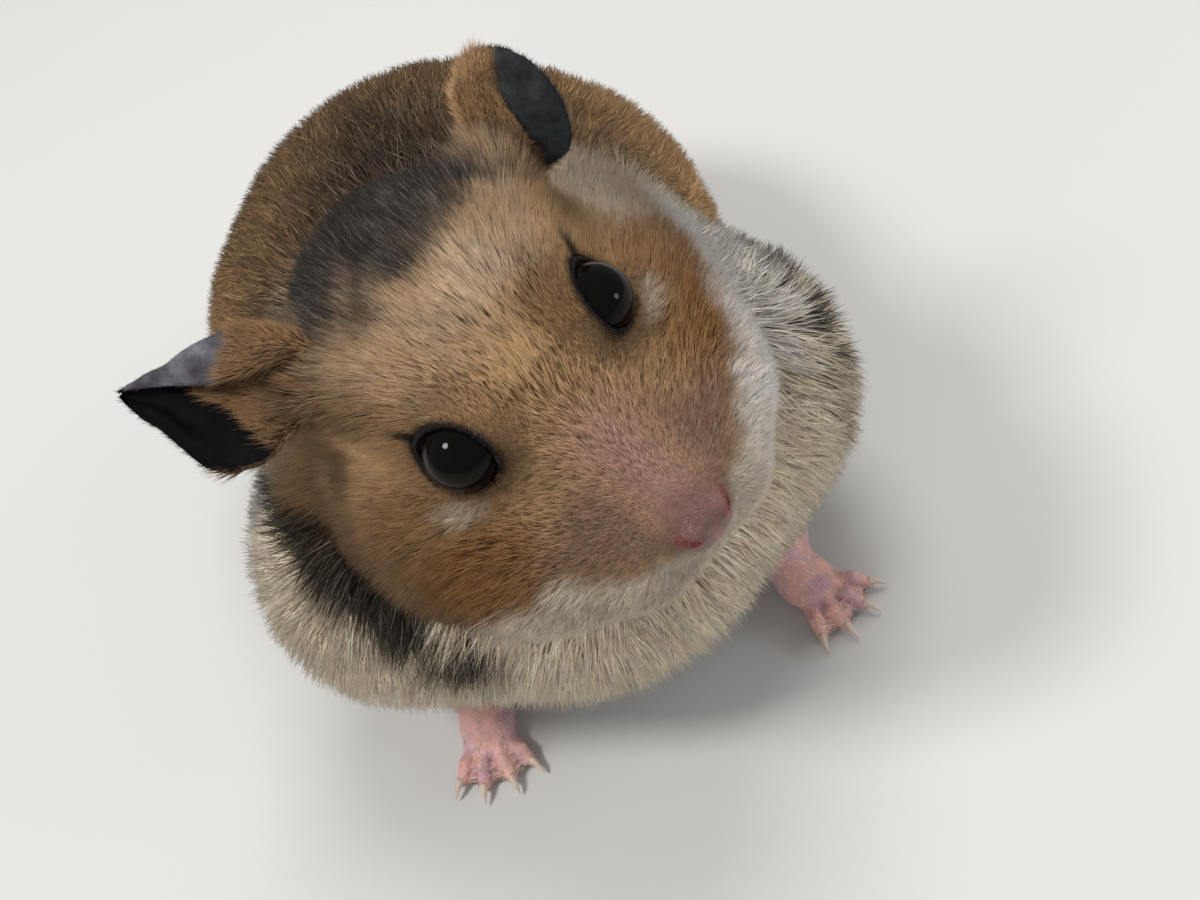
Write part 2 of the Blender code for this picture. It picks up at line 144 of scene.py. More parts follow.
# ------------------------------------------------------------------ blended surface
def ellipsoid(c, r, k=6.0, R=None):
    return ("ell", np.array(c, float), np.array(r, float), np.eye(3) if R is None else R, k)


def run(a, b, ra, rb, k=6.0):
    return ("run", np.array(a, float), np.array(b, float), (float(ra), float(rb)), k)


def distance(p, shape):
    if shape[0] == "ell":
        _, c, r, R, _ = shape
        q = (p - c) @ R
        k0 = np.linalg.norm(q / r, axis=1)
        k1 = np.linalg.norm(q / (r * r), axis=1)
        return k0 * (k0 - 1.0) / np.maximum(k1, 1e-9)
    _, a, b, (ra, rb), _ = shape
    ba = b - a
    l2 = ba @ ba
    rr = ra - rb
    a2 = l2 - rr * rr
    pa = p - a
    y = pa @ ba
    z = y - l2
    x2 = ((pa * l2 - np.outer(y, ba)) ** 2).sum(1)
    y2 = y * y * l2
    z2 = z * z * l2
    k = np.sign(rr) * rr * rr * x2
    out = (np.sqrt(np.maximum(x2 * a2 / l2, 0)) + y * rr) / l2 - ra
    low = np.sign(y) * a2 * y2 < k
    high = np.sign(z) * a2 * z2 > k
    out = np.where(low, np.sqrt(np.maximum(x2 + y2, 0)) / l2 - ra, out)
    return np.where(high, np.sqrt(np.maximum(x2 + z2, 0)) / l2 - rb, out)


def reach_of(shape):
    if shape[0] == "ell":
        return shape[1], float(np.max(shape[2]))
    return (shape[1] + shape[2]) / 2, float(np.linalg.norm(shape[2] - shape[1]) / 2 + max(shape[3]))


def blend(d, e, k):
    """Smooth union of two distances."""
    h = np.clip(0.5 + 0.5 * (e - d) / k, 0, 1)
    return e * (1 - h) + d * h - k * h * (1 - h)


def carve(d, e, k):
    """Smooth cut of e out of d."""
    return -blend(-d, e, k)


def field(p, shapes):
    d = np.full(len(p), 60.0)
    for s in shapes:
        c, reach = reach_of(s)
        near = np.flatnonzero(np.linalg.norm(p - c, axis=1) - reach < d + s[-1] + 1.0)
        if len(near):
            d[near] = blend(d[near], distance(p[near], s), s[-1])
    return d


# ------------------------------------------------------------------ anatomy, as the solids have it
def head_shapes():
    def e(c, r, k):
        return ellipsoid(head_point(*c), r, k, HEAD_TURN)

    shapes = [
        e((0, 6.0, 1.6), (13.8, 15.2, 13.8), 6),
        run(head_point(0, -3, -2.8), head_point(0, -17.0, -5.6), 9.6, 5.9, 5),
        run(head_point(0, -4, -8.8), head_point(0, -15.8, -10.0), 7.5, 3.9, 4),
    ]
    for side in (1, -1):
        shapes += [
            e((side * 10.2, 0.5, -7.0), (10.2, 13.5, 9.6), 4),
            e((side * 8.4, -9.6, -8.0), (8.6, 9.0, 6.8), 4),
            e((side * 4.9, -16.2, -7.6), (5.4, 6.0, 5.2), 3),
            e((side * 5.6, -4.6, 3.6), (3.4, 4.6, 3.8), 3),
            e((side * 12.2, 8.6, 8.0), (4.2, 4.6, 4.4), 4),
        ]
    shapes.append(e((0, -21.6, -4.2), (2.5, 1.8, 2.1), 1.6))
    return shapes


def trunk_shapes():
    shapes = [
        ellipsoid((0, 23, 21.0), (25, 24.5, 21.8), 8),
        ellipsoid((0, 11, 27), (24.5, 21.5, 22), 12, turn("X", -35)),
        ellipsoid((0, -3, 32.5), (21, 18, 19.5), 12),
        ellipsoid((0, -11, 38.5), (21.5, 15, 15), 8),
        ellipsoid((0, -19.5, 21.5), (20, 17, 15), 8),
    ]
    for side in (1, -1):
        shapes += [
            ellipsoid((side * 19, 21, 17.5), (11.5, 18.5, 15.5), 6, turn("Z", 8 * side)),
            ellipsoid((side * 17.8, -13, 23.5), (14.6, 15.5, 16.0), 7),
        ]
    shapes.append(run((0, 41, 12), (0, 48.0, 8.0), 4.5, 2.4, 4))
    return shapes


def limb_shapes(side):
    hand = HAND_L if side > 0 else HAND_R
    heel = HEEL_L if side > 0 else HEEL_R
    wrist = np.array([hand[0] - side * 0.6, hand[1] + 4.6, 5.2])
    return [
        run((side * 17.0, -8.0, 14.5), wrist, 6.4, 3.3, 4),
        run((side * 20.5, 14.0, 13.0), (heel[0], heel[1] + 1.0, 6.5), 6.5, 4.4, 4),
    ]


def tail_shapes():
    return [run((0, 46, 10.5), (0, 52.5, 6.4), 2.6, 2.0, 1), run((0, 52.5, 6.4), (0, 56.5, 4.8), 2.0, 1.4, 1)]


def paw(side, hind):
    """(flesh shapes, toes) of one paw. A toe is its base, knuckle, tip and direction."""
    if hind:
        at = HEEL_L if side > 0 else HEEL_R
        R = turn("Z", FOOT_TURN_L if side > 0 else FOOT_TURN_R)
    else:
        at = HAND_L if side > 0 else HAND_R
        R = turn("Z", HAND_TURN_L if side > 0 else HAND_TURN_R)

    def w(x, y, z):
        return np.array([at[0], at[1], 0.0]) + R @ np.array([x, y, z], float)

    toes = []
    if hind:
        n = FOOT_LENGTH - 5.0
        shapes = [
            run(w(0, 0, 3.0), w(0, -n * 0.55, 2.4), 3.0, 2.7, 2),
            ellipsoid(w(0, -n + 2.0, 1.9), (4.1, 5.0, 2.1), 2, R),
        ]
        plan = ((-40, -3.0, 3.0), (-17, -2.1, 4.6), (0, 0.0, 5.0), (17, 2.1, 4.6), (38, 3.1, 3.4))
        thick = (1.15, 0.95, 0.8)
    else:
        n = 0.0
        shapes = [
            run(w(0, 4.5, 4.6), w(0, 1.2, 2.6), 2.7, 2.5, 1.5),
            ellipsoid(w(0, 0, 1.9), (3.1, 3.5, 1.9), 1.5, R),
        ]
        plan = ((-34, -2.1, 3.3), (-11, -0.8, 4.1), (11, 0.7, 4.1), (33, 2.0, 3.4))
        thick = (1.05, 0.85, 0.75)
    for angle, start, length in plan:
        f = turn("Z", angle) @ np.array([0, -1.0, 0])
        if hind:
            base = np.array([start, -n + (-1.2 if abs(start) < 3 else 1.2), 1.5])
        else:
            base = np.array([start, -2.0, 1.5])
        knuckle = base + f * length * 0.55 + np.array([0, 0, 0.35])
        tip = base + f * length + np.array([0, 0, -0.5])
        shapes.append(run(w(*base), w(*knuckle), thick[0], thick[1], 0.5))
        shapes.append(run(w(*knuckle), w(*tip), thick[1], thick[2], 0.3))
        toes.append((w(*base), w(*knuckle), w(*tip), R @ f))
    return shapes, toes


HEAD = head_shapes()
BODY = trunk_shapes() + limb_shapes(1) + limb_shapes(-1)
PAWS = {(side, hind): paw(side, hind) for side in (1, -1) for hind in (False, True)}
FLESH = BODY + HEAD + tail_shapes() + [s for shapes, _ in PAWS.values() for s in shapes]


# ------------------------------------------------------------------ regions
def head_share(p):
    """1 on the head, 0 on the body, smooth at the neck."""
    q = to_head(p)
    e = np.linalg.norm((q - np.array([0, -1.0, -1.0])) / np.array([20.5, 23.5, 16.5]), axis=1)
    behind = step(12.0, 22.0, q[:, 1]) * step(8.0, -2.0, q[:, 2])
    return (1 - step(1.06, 1.30, e)) * (1 - behind)


def paw_distance(p):
    """How far a point is from the nearest bare hand or foot."""
    best = np.full(len(p), 99.0)
    for (side, hind), (_, toes) in PAWS.items():
        centre = np.mean([t[1] for t in toes], axis=0)
        if hind:
            heel = np.array([*(HEEL_L if side > 0 else HEEL_R), 2.4])
            d, _ = to_segment(p, heel + np.array([0, 0.5, 0]), centre)
            d = d - 3.4
        else:
            hand = np.array([*(HAND_L if side > 0 else HAND_R), 2.6])
            d, _ = to_segment(p, hand + np.array([0, 1.5, 0]), centre)
            d = d - 3.6
        best = np.minimum(best, d)
    return best


def tail_distance(p):
    return to_segment(p, (0, 49.5, 8.4), (0, 56.5, 4.8))[0] - 2.6


def eye_frame(side):
    o = unit(EYE_OUT * np.array([side, 1, 1]))
    h = EYE_LONG * np.array([side, 1, 1])
    h = unit(h - o * (h @ o))
    return (EYE_AT + EYE_OUTWARD) * np.array([side, 1, 1]), h, unit(np.cross(o, h) * side), o


LID_LONG, LID_HIGH, LID_R = 3.50, 2.66, EYE_R + 0.20


def eye_opening(q, side):
    """(signed distance to the lid opening across the ball, distance from the ball's centre, height along its axis)."""
    at, h, v, o = eye_frame(side)
    rel = q - at
    r = np.linalg.norm(rel, axis=1)
    x, y, z = rel @ h, rel @ v, rel @ o
    big = (LID_LONG**2 + LID_HIGH**2) / (2 * LID_HIGH)
    off = big - LID_HIGH
    top = np.hypot(x + 0.25, y + off) - big
    low = np.hypot(x - 0.15, y - off) - big
    k = np.where(x < 0, 0.25, 0.9)
    return -blend(-top, -low, k), r, z


def eye_distance(q):
    """Distance to the edge of the nearer lid opening, for points in the head frame."""
    best = np.full(len(q), 50.0)
    for side in (1, -1):
        lens, r, z = eye_opening(q, side)
        best = np.minimum(best, np.where(z > -1.0, np.maximum(lens, r - 9.0), np.maximum(r, 5.0)))
    return best


def corner_distance(q):
    """Distance to the dark streak that runs back from each eye's rear corner."""
    best = np.full(len(q), 50.0)
    for side, length in ((1, 1.9), (-1, 1.4)):
        at, h, v, o = eye_frame(side)
        a = at - 3.3 * h + 1.7 * o
        b = at - (3.3 + length) * h + 0.9 * o
        d, t = to_segment(q, a, b)
        best = np.minimum(best, d + 0.35 * t)
    return best


NOSE = np.array([0.0, -22.0, -4.4])


def coat_depth(p):
    q = to_head(p)
    hw = head_share(p)
    t = np.linalg.norm(q - NOSE, axis=1)
    face = 0.12 + 0.36 * step(2.2, 5.0, t) + 0.55 * step(5, 17, t) + 0.75 * step(17, 30, t)
    depth = mix(np.full(len(p), 2.2), face, hw)
    eye = np.minimum(*(np.linalg.norm(q - eye_frame(s)[0], axis=1) for s in (1, -1)))
    depth = depth * (0.3 + 0.7 * step(4.0, 7.5, eye))
    depth = mix(np.full(len(p), 0.13), depth, step(0.6, 8.0, paw_distance(p)))
    return mix(np.full(len(p), 0.35), depth, step(0.5, 5.0, tail_distance(p)))


def skin_details(p, d):
    """Lids, nose and lip folds, on top of the plain skin distance."""
    q = to_head(p)
    near = np.flatnonzero((np.abs(q[:, 0]) < 18) & (q[:, 1] < 6) & (np.abs(q[:, 2]) < 20))
    if not len(near):
        return d
    qn, dn = q[near], d[near]
    for side in (1, -1):
        lens, r, z = eye_opening(qn, side)
        m = (r < 8.5) & (z > -2.5)
        lid = np.where(m, r - LID_R, 9.0)
        dn = np.where(m, blend(dn, lid, 0.9), dn)
        # a shallow fold round the lids
        fold = np.abs(lens - 0.95) - 0.10
        dn = np.where(m & (lens > 0), dn + 0.10 * np.exp(-((fold / 0.22) ** 2)), dn)
        hole = np.maximum(np.maximum(lens - 0.5 * np.clip(r - LID_R, 0, 3), 3.1 - r), 0.1 - z)
        dn = np.where(m, carve(dn, hole, 0.10), dn)
    for side in (1, -1):
        dn = blend(dn, distance(qn, ellipsoid((side * 1.45, -22.35, -3.95), (1.2, 1.15, 1.15))), 0.4)
        dn = carve(dn, distance(qn, run((side * 1.35, -24.1, -4.5), (side * 2.8, -22.4, -3.4), 0.38, 0.26)), 0.16)
        dn = carve(dn, distance(qn, run((side * 0.1, -22.6, -9.4), (side * 3.2, -21.9, -10.5), 0.24, 0.24)), 0.3)
        dn = carve(dn, distance(qn, run((side * 3.2, -21.9, -10.5), (side * 6.4, -18.8, -11.4), 0.24, 0.2)), 0.3)
    dn = carve(dn, distance(qn, run((0, -24.0, -2.9), (0, -23.45, -6.2), 0.24, 0.24)), 0.35)
    dn = carve(dn, distance(qn, run((0, -23.35, -6.2), (0, -22.4, -9.4), 0.26, 0.26)), 0.3)
    d = d.copy()
    d[near] = dn
    return d


def skin_field(p, fine):
    d = field(p, FLESH) + coat_depth(p)
    return skin_details(p, d) if fine else d


def settle(p, times, fine, most, share=1.0):
    """Moves points onto the skin along its slope."""
    e = 0.03
    g = None
    for _ in range(times):
        d = skin_field(p, fine)
        g = np.stack([skin_field(p + np.eye(3)[i] * e, fine) - d for i in range(3)], 1)
        g = unit(g)
        p = p - g * np.clip(d * share, -most, most)[:, None]
    return p, g


# ------------------------------------------------------------------ mesh helpers
def new_object(name, mesh):
    obj = bpy.data.objects.new(name, mesh)
    bpy.context.scene.collection.objects.link(obj)
    return obj


def mesh_of(name, points, tris, smooth=True):
    """A mesh from plain arrays: points in millimetres of the stance frame."""
    mesh = bpy.data.meshes.new(name)
    mesh.vertices.add(len(points))
    mesh.vertices.foreach_set("co", to_row(points).astype(np.float32).ravel())
    mesh.loops.add(len(tris) * 3)
    mesh.loops.foreach_set("vertex_index", tris.astype(np.int32).ravel())
    mesh.polygons.add(len(tris))
    mesh.polygons.foreach_set("loop_start", np.arange(len(tris), dtype=np.int32) * 3)
    mesh.polygons.foreach_set("use_smooth", np.full(len(tris), smooth))
    mesh.update(calc_edges=True)
    return mesh


def paint(mesh, name, colours):
    layer = mesh.color_attributes.new(name, "FLOAT_COLOR", "POINT")
    rgba = np.ones((len(colours), 4), np.float32)
    rgba[:, :3] = np.clip(colours, 0, 1)
    layer.data.foreach_set("color", rgba.ravel())


def unit_ball(u, v):
    points = [(0.0, 0.0, 1.0)]
    for j in range(1, v):
        a = math.pi * j / v
        for i in range(u):
            b = 2 * math.pi * i / u
            points.append((math.sin(a) * math.cos(b), math.sin(a) * math.sin(b), math.cos(a)))
    points.append((0.0, 0.0, -1.0))
    tris = []
    for i in range(u):
        k = (i + 1) % u
        tris.append((0, 1 + i, 1 + k))
        for j in range(v - 2):
            a, b = 1 + j * u, 1 + (j + 1) * u
            tris += [(a + i, b + i, b + k), (a + i, b + k, a + k)]
        last = 1 + (v - 2) * u
        tris.append((last + i, len(points) - 1, last + k))
    return np.array(points), np.array(tris)


def blockout(shapes, grow):
    """Points and triangles of overlapping primitives along these shapes."""
    ball, faces = unit_ball(20, 12)
    points, tris = [], []

    def place(c, r, R):
        tris.append(faces + len(points) * len(ball))
        points.append((ball * (np.asarray(r) + grow)) @ np.asarray(R).T + c)

    for s in shapes:
        if s[0] == "ell":
            place(s[1], s[2], s[3])
        else:
            a, b, (ra, rb) = s[1], s[2], s[3]
            steps = max(2, int(np.linalg.norm(b - a) / (0.6 * min(ra, rb))) + 1)
            for i in range(steps + 1):
                t = i / steps
                place(a + (b - a) * t, np.full(3, ra + (rb - ra) * t), np.eye(3))
    return np.concatenate(points), np.concatenate(tris)


def refine(points, tris, pick):
    """Splits the picked triangles in four and their neighbours to match."""
    ends = np.stack([tris, np.roll(tris, -1, 1)], 2)  # (n, 3, 2): edges 01, 12, 20
    ends = np.sort(ends, 2).reshape(-1, 2)
    edges, index = np.unique(ends, axis=0, return_inverse=True)
    index = index.reshape(-1, 3)
    marked = np.zeros(len(edges), bool)
    marked[index[pick]] = True
    number = np.full(len(edges), -1)
    number[marked] = len(points) + np.arange(marked.sum())
    middle = points[edges[marked]].mean(1)
    points = np.concatenate([points, middle])
    m = number[index]
    count = (m >= 0).sum(1)
    out = [tris[count == 0]]
    t, k = tris[count == 3], m[count == 3]
    out += [
        np.stack([t[:, 0], k[:, 0], k[:, 2]], 1), np.stack([t[:, 1], k[:, 1], k[:, 0]], 1),
        np.stack([t[:, 2], k[:, 2], k[:, 1]], 1), k,
    ]
    for i in range(3):
        j, l = (i + 1) % 3, (i + 2) % 3
        one = (count == 1) & (m[:, i] >= 0)
        t, k = tris[one], m[one]
        out += [np.stack([t[:, i], k[:, i], t[:, l]], 1), np.stack([k[:, i], t[:, j], t[:, l]], 1)]
        two = (count == 2) & (m[:, i] < 0)  # edges j (j-l) and l (l-i) are split
        t, k = tris[two], m[two]
        out += [
            np.stack([t[:, l], k[:, l], k[:, j]], 1),
            np.stack([t[:, i], t[:, j], k[:, j]], 1),
            np.stack([t[:, i], k[:, j], k[:, l]], 1),
        ]
    return points, np.concatenate(out)


def relaxed(points, tris, times, fine, hold=None):
    ends = np.sort(np.concatenate([tris[:, [0, 1]], tris[:, [1, 2]], tris[:, [2, 0]]]), 1)
    edges = np.unique(ends, axis=0)
    count = np.maximum(np.bincount(edges.ravel(), minlength=len(points)), 1)[:, None]
    for _ in range(times):
        total = np.stack([
            np.bincount(edges[:, 0], points[edges[:, 1], i], len(points))
            + np.bincount(edges[:, 1], points[edges[:, 0], i], len(points))
            for i in range(3)
        ], 1)
        target = points + 0.6 * (total / count - points)
        if hold is not None:
            target[hold] = points[hold]
        points, _ = settle(target, 1, fine, 0.5)
    return points


def vertex_normals(points, tris):
    n = np.cross(points[tris[:, 1]] - points[tris[:, 0]], points[tris[:, 2]] - points[tris[:, 0]])
    out = np.stack([
        sum(np.bincount(tris[:, c], n[:, i], len(points)) for c in range(3)) for i in range(3)
    ], 1)
    return unit(out)


# ------------------------------------------------------------------ the skin
def make_skin():
    points, tris = blockout(FLESH, 0.6)
    mesh = mesh_of("skin_blockout", points, tris)
    helper = new_object("skin_blockout", mesh)
    fuse = helper.modifiers.new("fuse", "REMESH")
    fuse.mode = "VOXEL"
    fuse.voxel_size = 0.6 * MM
    bpy.context.view_layer.update()
    made = bpy.data.meshes.new_from_object(helper.evaluated_get(bpy.context.evaluated_depsgraph_get()))
    bpy.data.objects.remove(helper, do_unlink=True)
    points = np.empty(len(made.vertices) * 3)
    made.vertices.foreach_get("co", points)
    points = points.reshape(-1, 3) / MM - SHIFT
    made.calc_loop_triangles()
    tris = np.empty(len(made.loop_triangles) * 3, np.int32)
    made.loop_triangles.foreach_get("vertices", tris)
    tris = tris.reshape(-1, 3).astype(np.int64)
    bpy.data.meshes.remove(made)
    points, _ = settle(points, 4, False, 1.2)
    points = relaxed(points, tris, 3, False)
    base = (points.copy(), tris.copy())

    for level in range(3):
        c = points[tris].mean(1)
        q = to_head(c)
        lens = np.full(len(c), 9.0)
        for side in (1, -1):
            a, r, z = eye_opening(q, side)
            lens = np.where((r < 6.5) & (z > -1.5), np.minimum(lens, np.abs(a)), lens)
        nose = np.linalg.norm(q - np.array([0, -22.8, -5.0]), axis=1)
        lip = np.minimum(
            to_segment(q, (0, -22.4, -9.4), (3.2, -21.9, -10.5))[0], to_segment(q, (0, -22.4, -9.4), (-3.2, -21.9, -10.5))[0]
        )
        if level == 0:
            pick = (lens < 2.6) | (nose < 5.5) | (lip < 3.0) | (paw_distance(c) < 1.0)
        elif level == 1:
            pick = (lens < 1.1) | (nose < 3.6) | (lip < 1.2)
        else:
            pick = (lens < 0.5) | (nose < 2.6)
        size = len(points)
        points, tris = refine(points, tris, pick)
        move = np.zeros(len(points), bool)
        move[tris[(tris >= size).any(1)]] = True
        c = to_head(points)
        move |= (np.linalg.norm(c - np.array([0, -22.8, -5.0]), axis=1) < 6) | (eye_distance(c) < 3)
        which = np.flatnonzero(move)
        points[which], _ = settle(points[which], 3, True, 0.35)
    which = np.flatnonzero((eye_distance(to_head(points)) < 2.5) | (np.linalg.norm(to_head(points) - np.array([0, -22.8, -5.0]), axis=1) < 5))
    hold = np.ones(len(points), bool)
    hold[which] = False
    edges_ok = np.isin(tris, which).all(1)
    small = tris[edges_ok]
    for _ in range(3):
        ends = np.unique(np.sort(np.concatenate([small[:, [0, 1]], small[:, [1, 2]], small[:, [2, 0]]]), 1), axis=0)
        count = np.bincount(ends.ravel(), minlength=len(points))
        inner = which[count[which] > 4]
        total = np.stack([
            np.bincount(ends[:, 0], points[ends[:, 1], i], len(points)) + np.bincount(ends[:, 1], points[ends[:, 0], i], len(points))
            for i in range(3)
        ], 1)
        points[inner] += 0.35 * (total[inner] / count[inner, None] - points[inner])
        points[inner], _ = settle(points[inner], 2, True, 0.15)
    points[:, 2] = np.maximum(points[:, 2], 0.03)
    return points, tris, base


# ------------------------------------------------------------------ markings, with painted light and shade
def srgb(r, g, b):
    c = np.array([r, g, b]) / 255.0
    return np.where(c <= 0.04045, c / 12.92, ((c + 0.055) / 1.055) ** 2.4)


TAN = srgb(180, 146, 107)
GREY_TAN = srgb(158, 136, 114)
BROWN = srgb(160, 118, 78)
CHEEK = srgb(142, 100, 58)
BACK = srgb(148, 116, 80)
FLANK = srgb(196, 156, 110)
CROWN = srgb(64, 58, 54)
SOOT = srgb(15, 12, 11)
CREAM = srgb(240, 224, 201)
ASH = srgb(238, 221, 196)
WHITE = srgb(232, 228, 224)
BLUE_WHITE = srgb(232, 224, 217)
SLATE = srgb(92, 88, 90)
PINK = srgb(224, 172, 162)
PURPLE_PINK = srgb(204, 160, 168)
RIDGE_PINK = srgb(184, 141, 131)
MAUVE = srgb(120, 86, 82)
MUZZLE = srgb(148, 117, 98)
DARK_LID = srgb(17, 13, 13)

# The black cheek stripe, in the head frame for the right side: along the cheek's lower rim, and on the
# neck behind and below it.
STRIPE_RIM = [(-20.3, 13, -7.3), (-20.6, 6, -5.9), (-20.0, 0, -5.1), (-19.0, -5.5, -6.6), (-18.0, -8.6, -9.0), (-15, -11.5, -13.0)]
STRIPE_NECK = [(-20.9, 18.5, -6.0), (-20.9, 14.4, -7.4), (-20.9, 8.6, -8.8), (-21.4, 4.7, -12.1), (-21.2, 1.7, -15.9), (-21.2, -0.2, -18.9), (-17.9, -3.1, -19.4)]


def chain_distance(q, n, chain, side, drop):
    """Distance to a chain of points, taken mostly along the surface."""
    best = np.full(len(q), 99.0)
    pts = [np.array(c) * np.array([-side, 1, 1]) + np.array(drop) for c in chain]
    for a, b in zip(pts[:-1], pts[1:]):
        ba = b - a
        t = np.clip(((q - a) @ ba) / (ba @ ba), 0, 1)
        rel = q - a - t[:, None] * ba
        rel = rel - 0.6 * n * (rel * n).sum(1)[:, None]
        best = np.minimum(best, np.linalg.norm(rel, axis=1))
    return best


def markings_and_painted_light(p, n):
    """Coat colour at points p with outward directions n, linear RGB, with painted shade and painted light round the
    eyes, temples, chin and under the ears, and how dark-ticked it is.
    """
    q = to_head(p)
    qn = n @ HEAD_TURN
    hw = head_share(p)
    sx, x, y, z = q[:, 0], np.abs(q[:, 0]), q[:, 1], q[:, 2]
    wob, slow, fine = noise(p, 2.4, 11), noise(p, 6.5, 12), noise(p, 1.0, 13)
    pz, py, px = p[:, 2], p[:, 1], p[:, 0]

    level = pz + 7 * slow + 2.5 * wob
    c = mix(np.tile(FLANK, (len(p), 1)), BACK, step(24, 42, level))
    c = mix(np.tile(CREAM, (len(p), 1)), c, step(8, 18, level))
    front = step(3, -9, py + 5 * slow) * (1 - step(44, 51, pz))
    c = mix(c, ASH, front)
    c = mix(c, CREAM, front * step(30, 18, level) * 0.8)
    rump = step(24, 34, py) * step(10, 20, pz)
    c = mix(c, BACK, rump * 0.6)
    for side in (1, -1):
        at = np.array([side * 27.5, -9.5, 36.5]) if side < 0 else np.array([22.5, -16.0, 39.5])
        reach = np.array([7, 5.0, 6.0]) if side < 0 else np.array([9.0, 9.0, 7.0])
        near = np.linalg.norm((p - at) / reach, axis=1) + 0.3 * wob
        c = mix(c, BLUE_WHITE, 0.9 * (1 - step(0.6, 1.25, near)))
    dorsal = np.exp(-((px + 1.5 * slow) / (8.5 + 8.0 * step(16, -2, py))) ** 2) * step(30, 40, pz) * step(38, 6, py)
    c = mix(c, CROWN, 0.88 * dorsal)
    tick = 0.15 * step(22, 36, pz) + 0.25 * dorsal

    h = np.tile(TAN, (len(p), 1))
    h = mix(h, BROWN * 0.85, step(5, 11, x) * step(5, -3, z) * 0.65)
    h = mix(h, GREY_TAN, step(6, 9, z) * step(-9, -3, y) * (0.55 + 0.8 * wob))
    pale = 1 - step(0.55, 1.2, np.linalg.norm((q - np.array([2.5, -2.5, 11.5])) / np.array([3.0, 3.2, 4.0]), axis=1))
    h = mix(h, CREAM, 0.16 * pale)
    around = np.linalg.norm((np.stack([x, y, z], 1) - np.array([14.2, -11.2, -2.9])) / np.array([6.0, 6.0, 3.1]), axis=1)
    h = mix(h, CHEEK, 0.9 * (1 - step(0.5, 1.3, around + 0.35 * wob)))
    streak = np.linalg.norm((np.stack([x, y, z], 1) - np.array([12.0, -8.2, 0.7])) / np.array([2.4, 2.6, 1.0]), axis=1)
    h = mix(h, CREAM, 0.65 * (1 - step(0.5, 1.4, streak)))
    muzzle = step(2.4, 4.0, x) * step(-12.5, -16.5, y) * step(-5.0, -3.0, z)
    h = mix(h, MUZZLE, 0.80 * muzzle * (1 + 0.4 * wob))
    ring = eye_distance(q)
    # darker brown at the temples, much stronger on the right side than the left: partly darker fur, mostly painted
    # shade
    temple_dark_and_shade = step(7.5, 11.0, x) * step(-4, 1, y) * step(13.5, 11.0, z) * np.where(sx < 0, step(3.0, 6.5, z), step(-8, -2, z))
    h = mix(h, BROWN * 0.33, np.where(sx < 0, 0.86, 0.20) * temple_dark_and_shade * (1 + 0.4 * wob))
    # painted light: a paler tan on the right side below the ear, where the ear's shadow falls
    behind = np.linalg.norm((q - np.array([-15.0, 4.5, 1.8])) / np.array([5.0, 6.5, 4.0]), axis=1)
    h = mix(h, TAN * 1.22, 0.65 * (1 - step(0.6, 1.3, behind + 0.3 * wob)))
    # darker brown above the inner side of the left eye: partly a brown ring, partly painted shade of the eye socket
    inner = np.linalg.norm((q - np.array([5.2, -7.0, 8.3])) / np.array([3.0, 4.5, 4.0]), axis=1)
    h = mix(h, BROWN * 0.62, 0.60 * (1 - step(0.5, 1.3, inner + 0.3 * wob)))
    # painted light: cream on the left temple, where the left ear's shadow falls
    h = mix(h, CREAM, 0.55 * step(12, 16, sx) * step(-3, 2, y) * step(5, 1, z))
    # darker brown below each eye and in a band round it: partly darker fur, partly painted shade of the eye sockets
    under = np.linalg.norm((np.stack([x, y, z], 1) - np.array([14.5, -5.5, 0.2])) / np.array([4.0, 4.5, 2.6]), axis=1)
    h = mix(h, BROWN * 0.62, 0.6 * (1 - step(0.5, 1.3, under + 0.3 * wob)) * (1 - step(0.4, 1.2, -streak + 1.6)))
    h = mix(h, BROWN * 0.55, (1 - step(0.5, 4.0, ring)) * 0.58)
    dark = np.maximum(1 - step(0.30, 0.85, ring), 1 - step(0.45, 1.1, corner_distance(q)))
    h = mix(h, SOOT * 0.6, 0.92 * dark)
    # pinkish short fur runs up the ridge of the nose
    ridge = np.exp(-((sx / (2.5 + 0.10 * (y + 23).clip(0, 30))) ** 2)) * step(-9.0, -15.5, y) * step(-4.6, -2.6, z)
    h = mix(h, RIDGE_PINK, 0.82 * ridge)
    crown = np.hypot(sx / np.where(sx > 0, 11.8, 9.8), (y - 10.5) / 10.5) + 0.45 * wob + 0.25 * fine
    crown = (1 - step(0.72, 1.12, crown)) * step(3, 7, z)
    crown = np.maximum(crown, step(13, 18, y) * (1 - step(9, 14, x)) * step(-4, 4, z))
    h = mix(h, CROWN * (1 + 0.5 * fine)[:, None], crown)
    spot = np.linalg.norm((q - np.array([-5.1, 0.8, 13.2])) / np.array([1.6, 2.2, 2.5]), axis=1)
    h = mix(h, SOOT, 0.75 * (1 - step(0.5, 1.2, spot)))
    knots_y = [-24, -19, -16, -12.5, -6, 0, 8]
    bound = np.where(
        sx < 0,
        np.interp(y, knots_y, [-4.4, -4.4, -4.4, -5.6, -9.0, -13, -16]),
        np.interp(y, knots_y, [-4.4, -4.2, -4.0, -3.2, -2.6, -4.2, -7]),
    )
    white = step(0.7, -0.9, z - bound + 1.6 * wob + 0.6 * fine)
    # the white is darker and warmer on the right side (CREAM at 0.74) than the BLUE_WHITE of the left: partly painted
    # shade
    pale = mix(np.tile(CREAM * 0.74, (len(p), 1)), BLUE_WHITE, 0.10 + 0.90 * step(2, 12, sx))
    h = mix(h, pale, white)
    rim = np.linalg.norm(q - NOSE, axis=1)
    h = mix(h, MAUVE * 1.15, (1 - step(2.2, 4.6, rim)) * step(-5.8, -4.0, z) * 0.75)
    c = mix(c, h, hw)

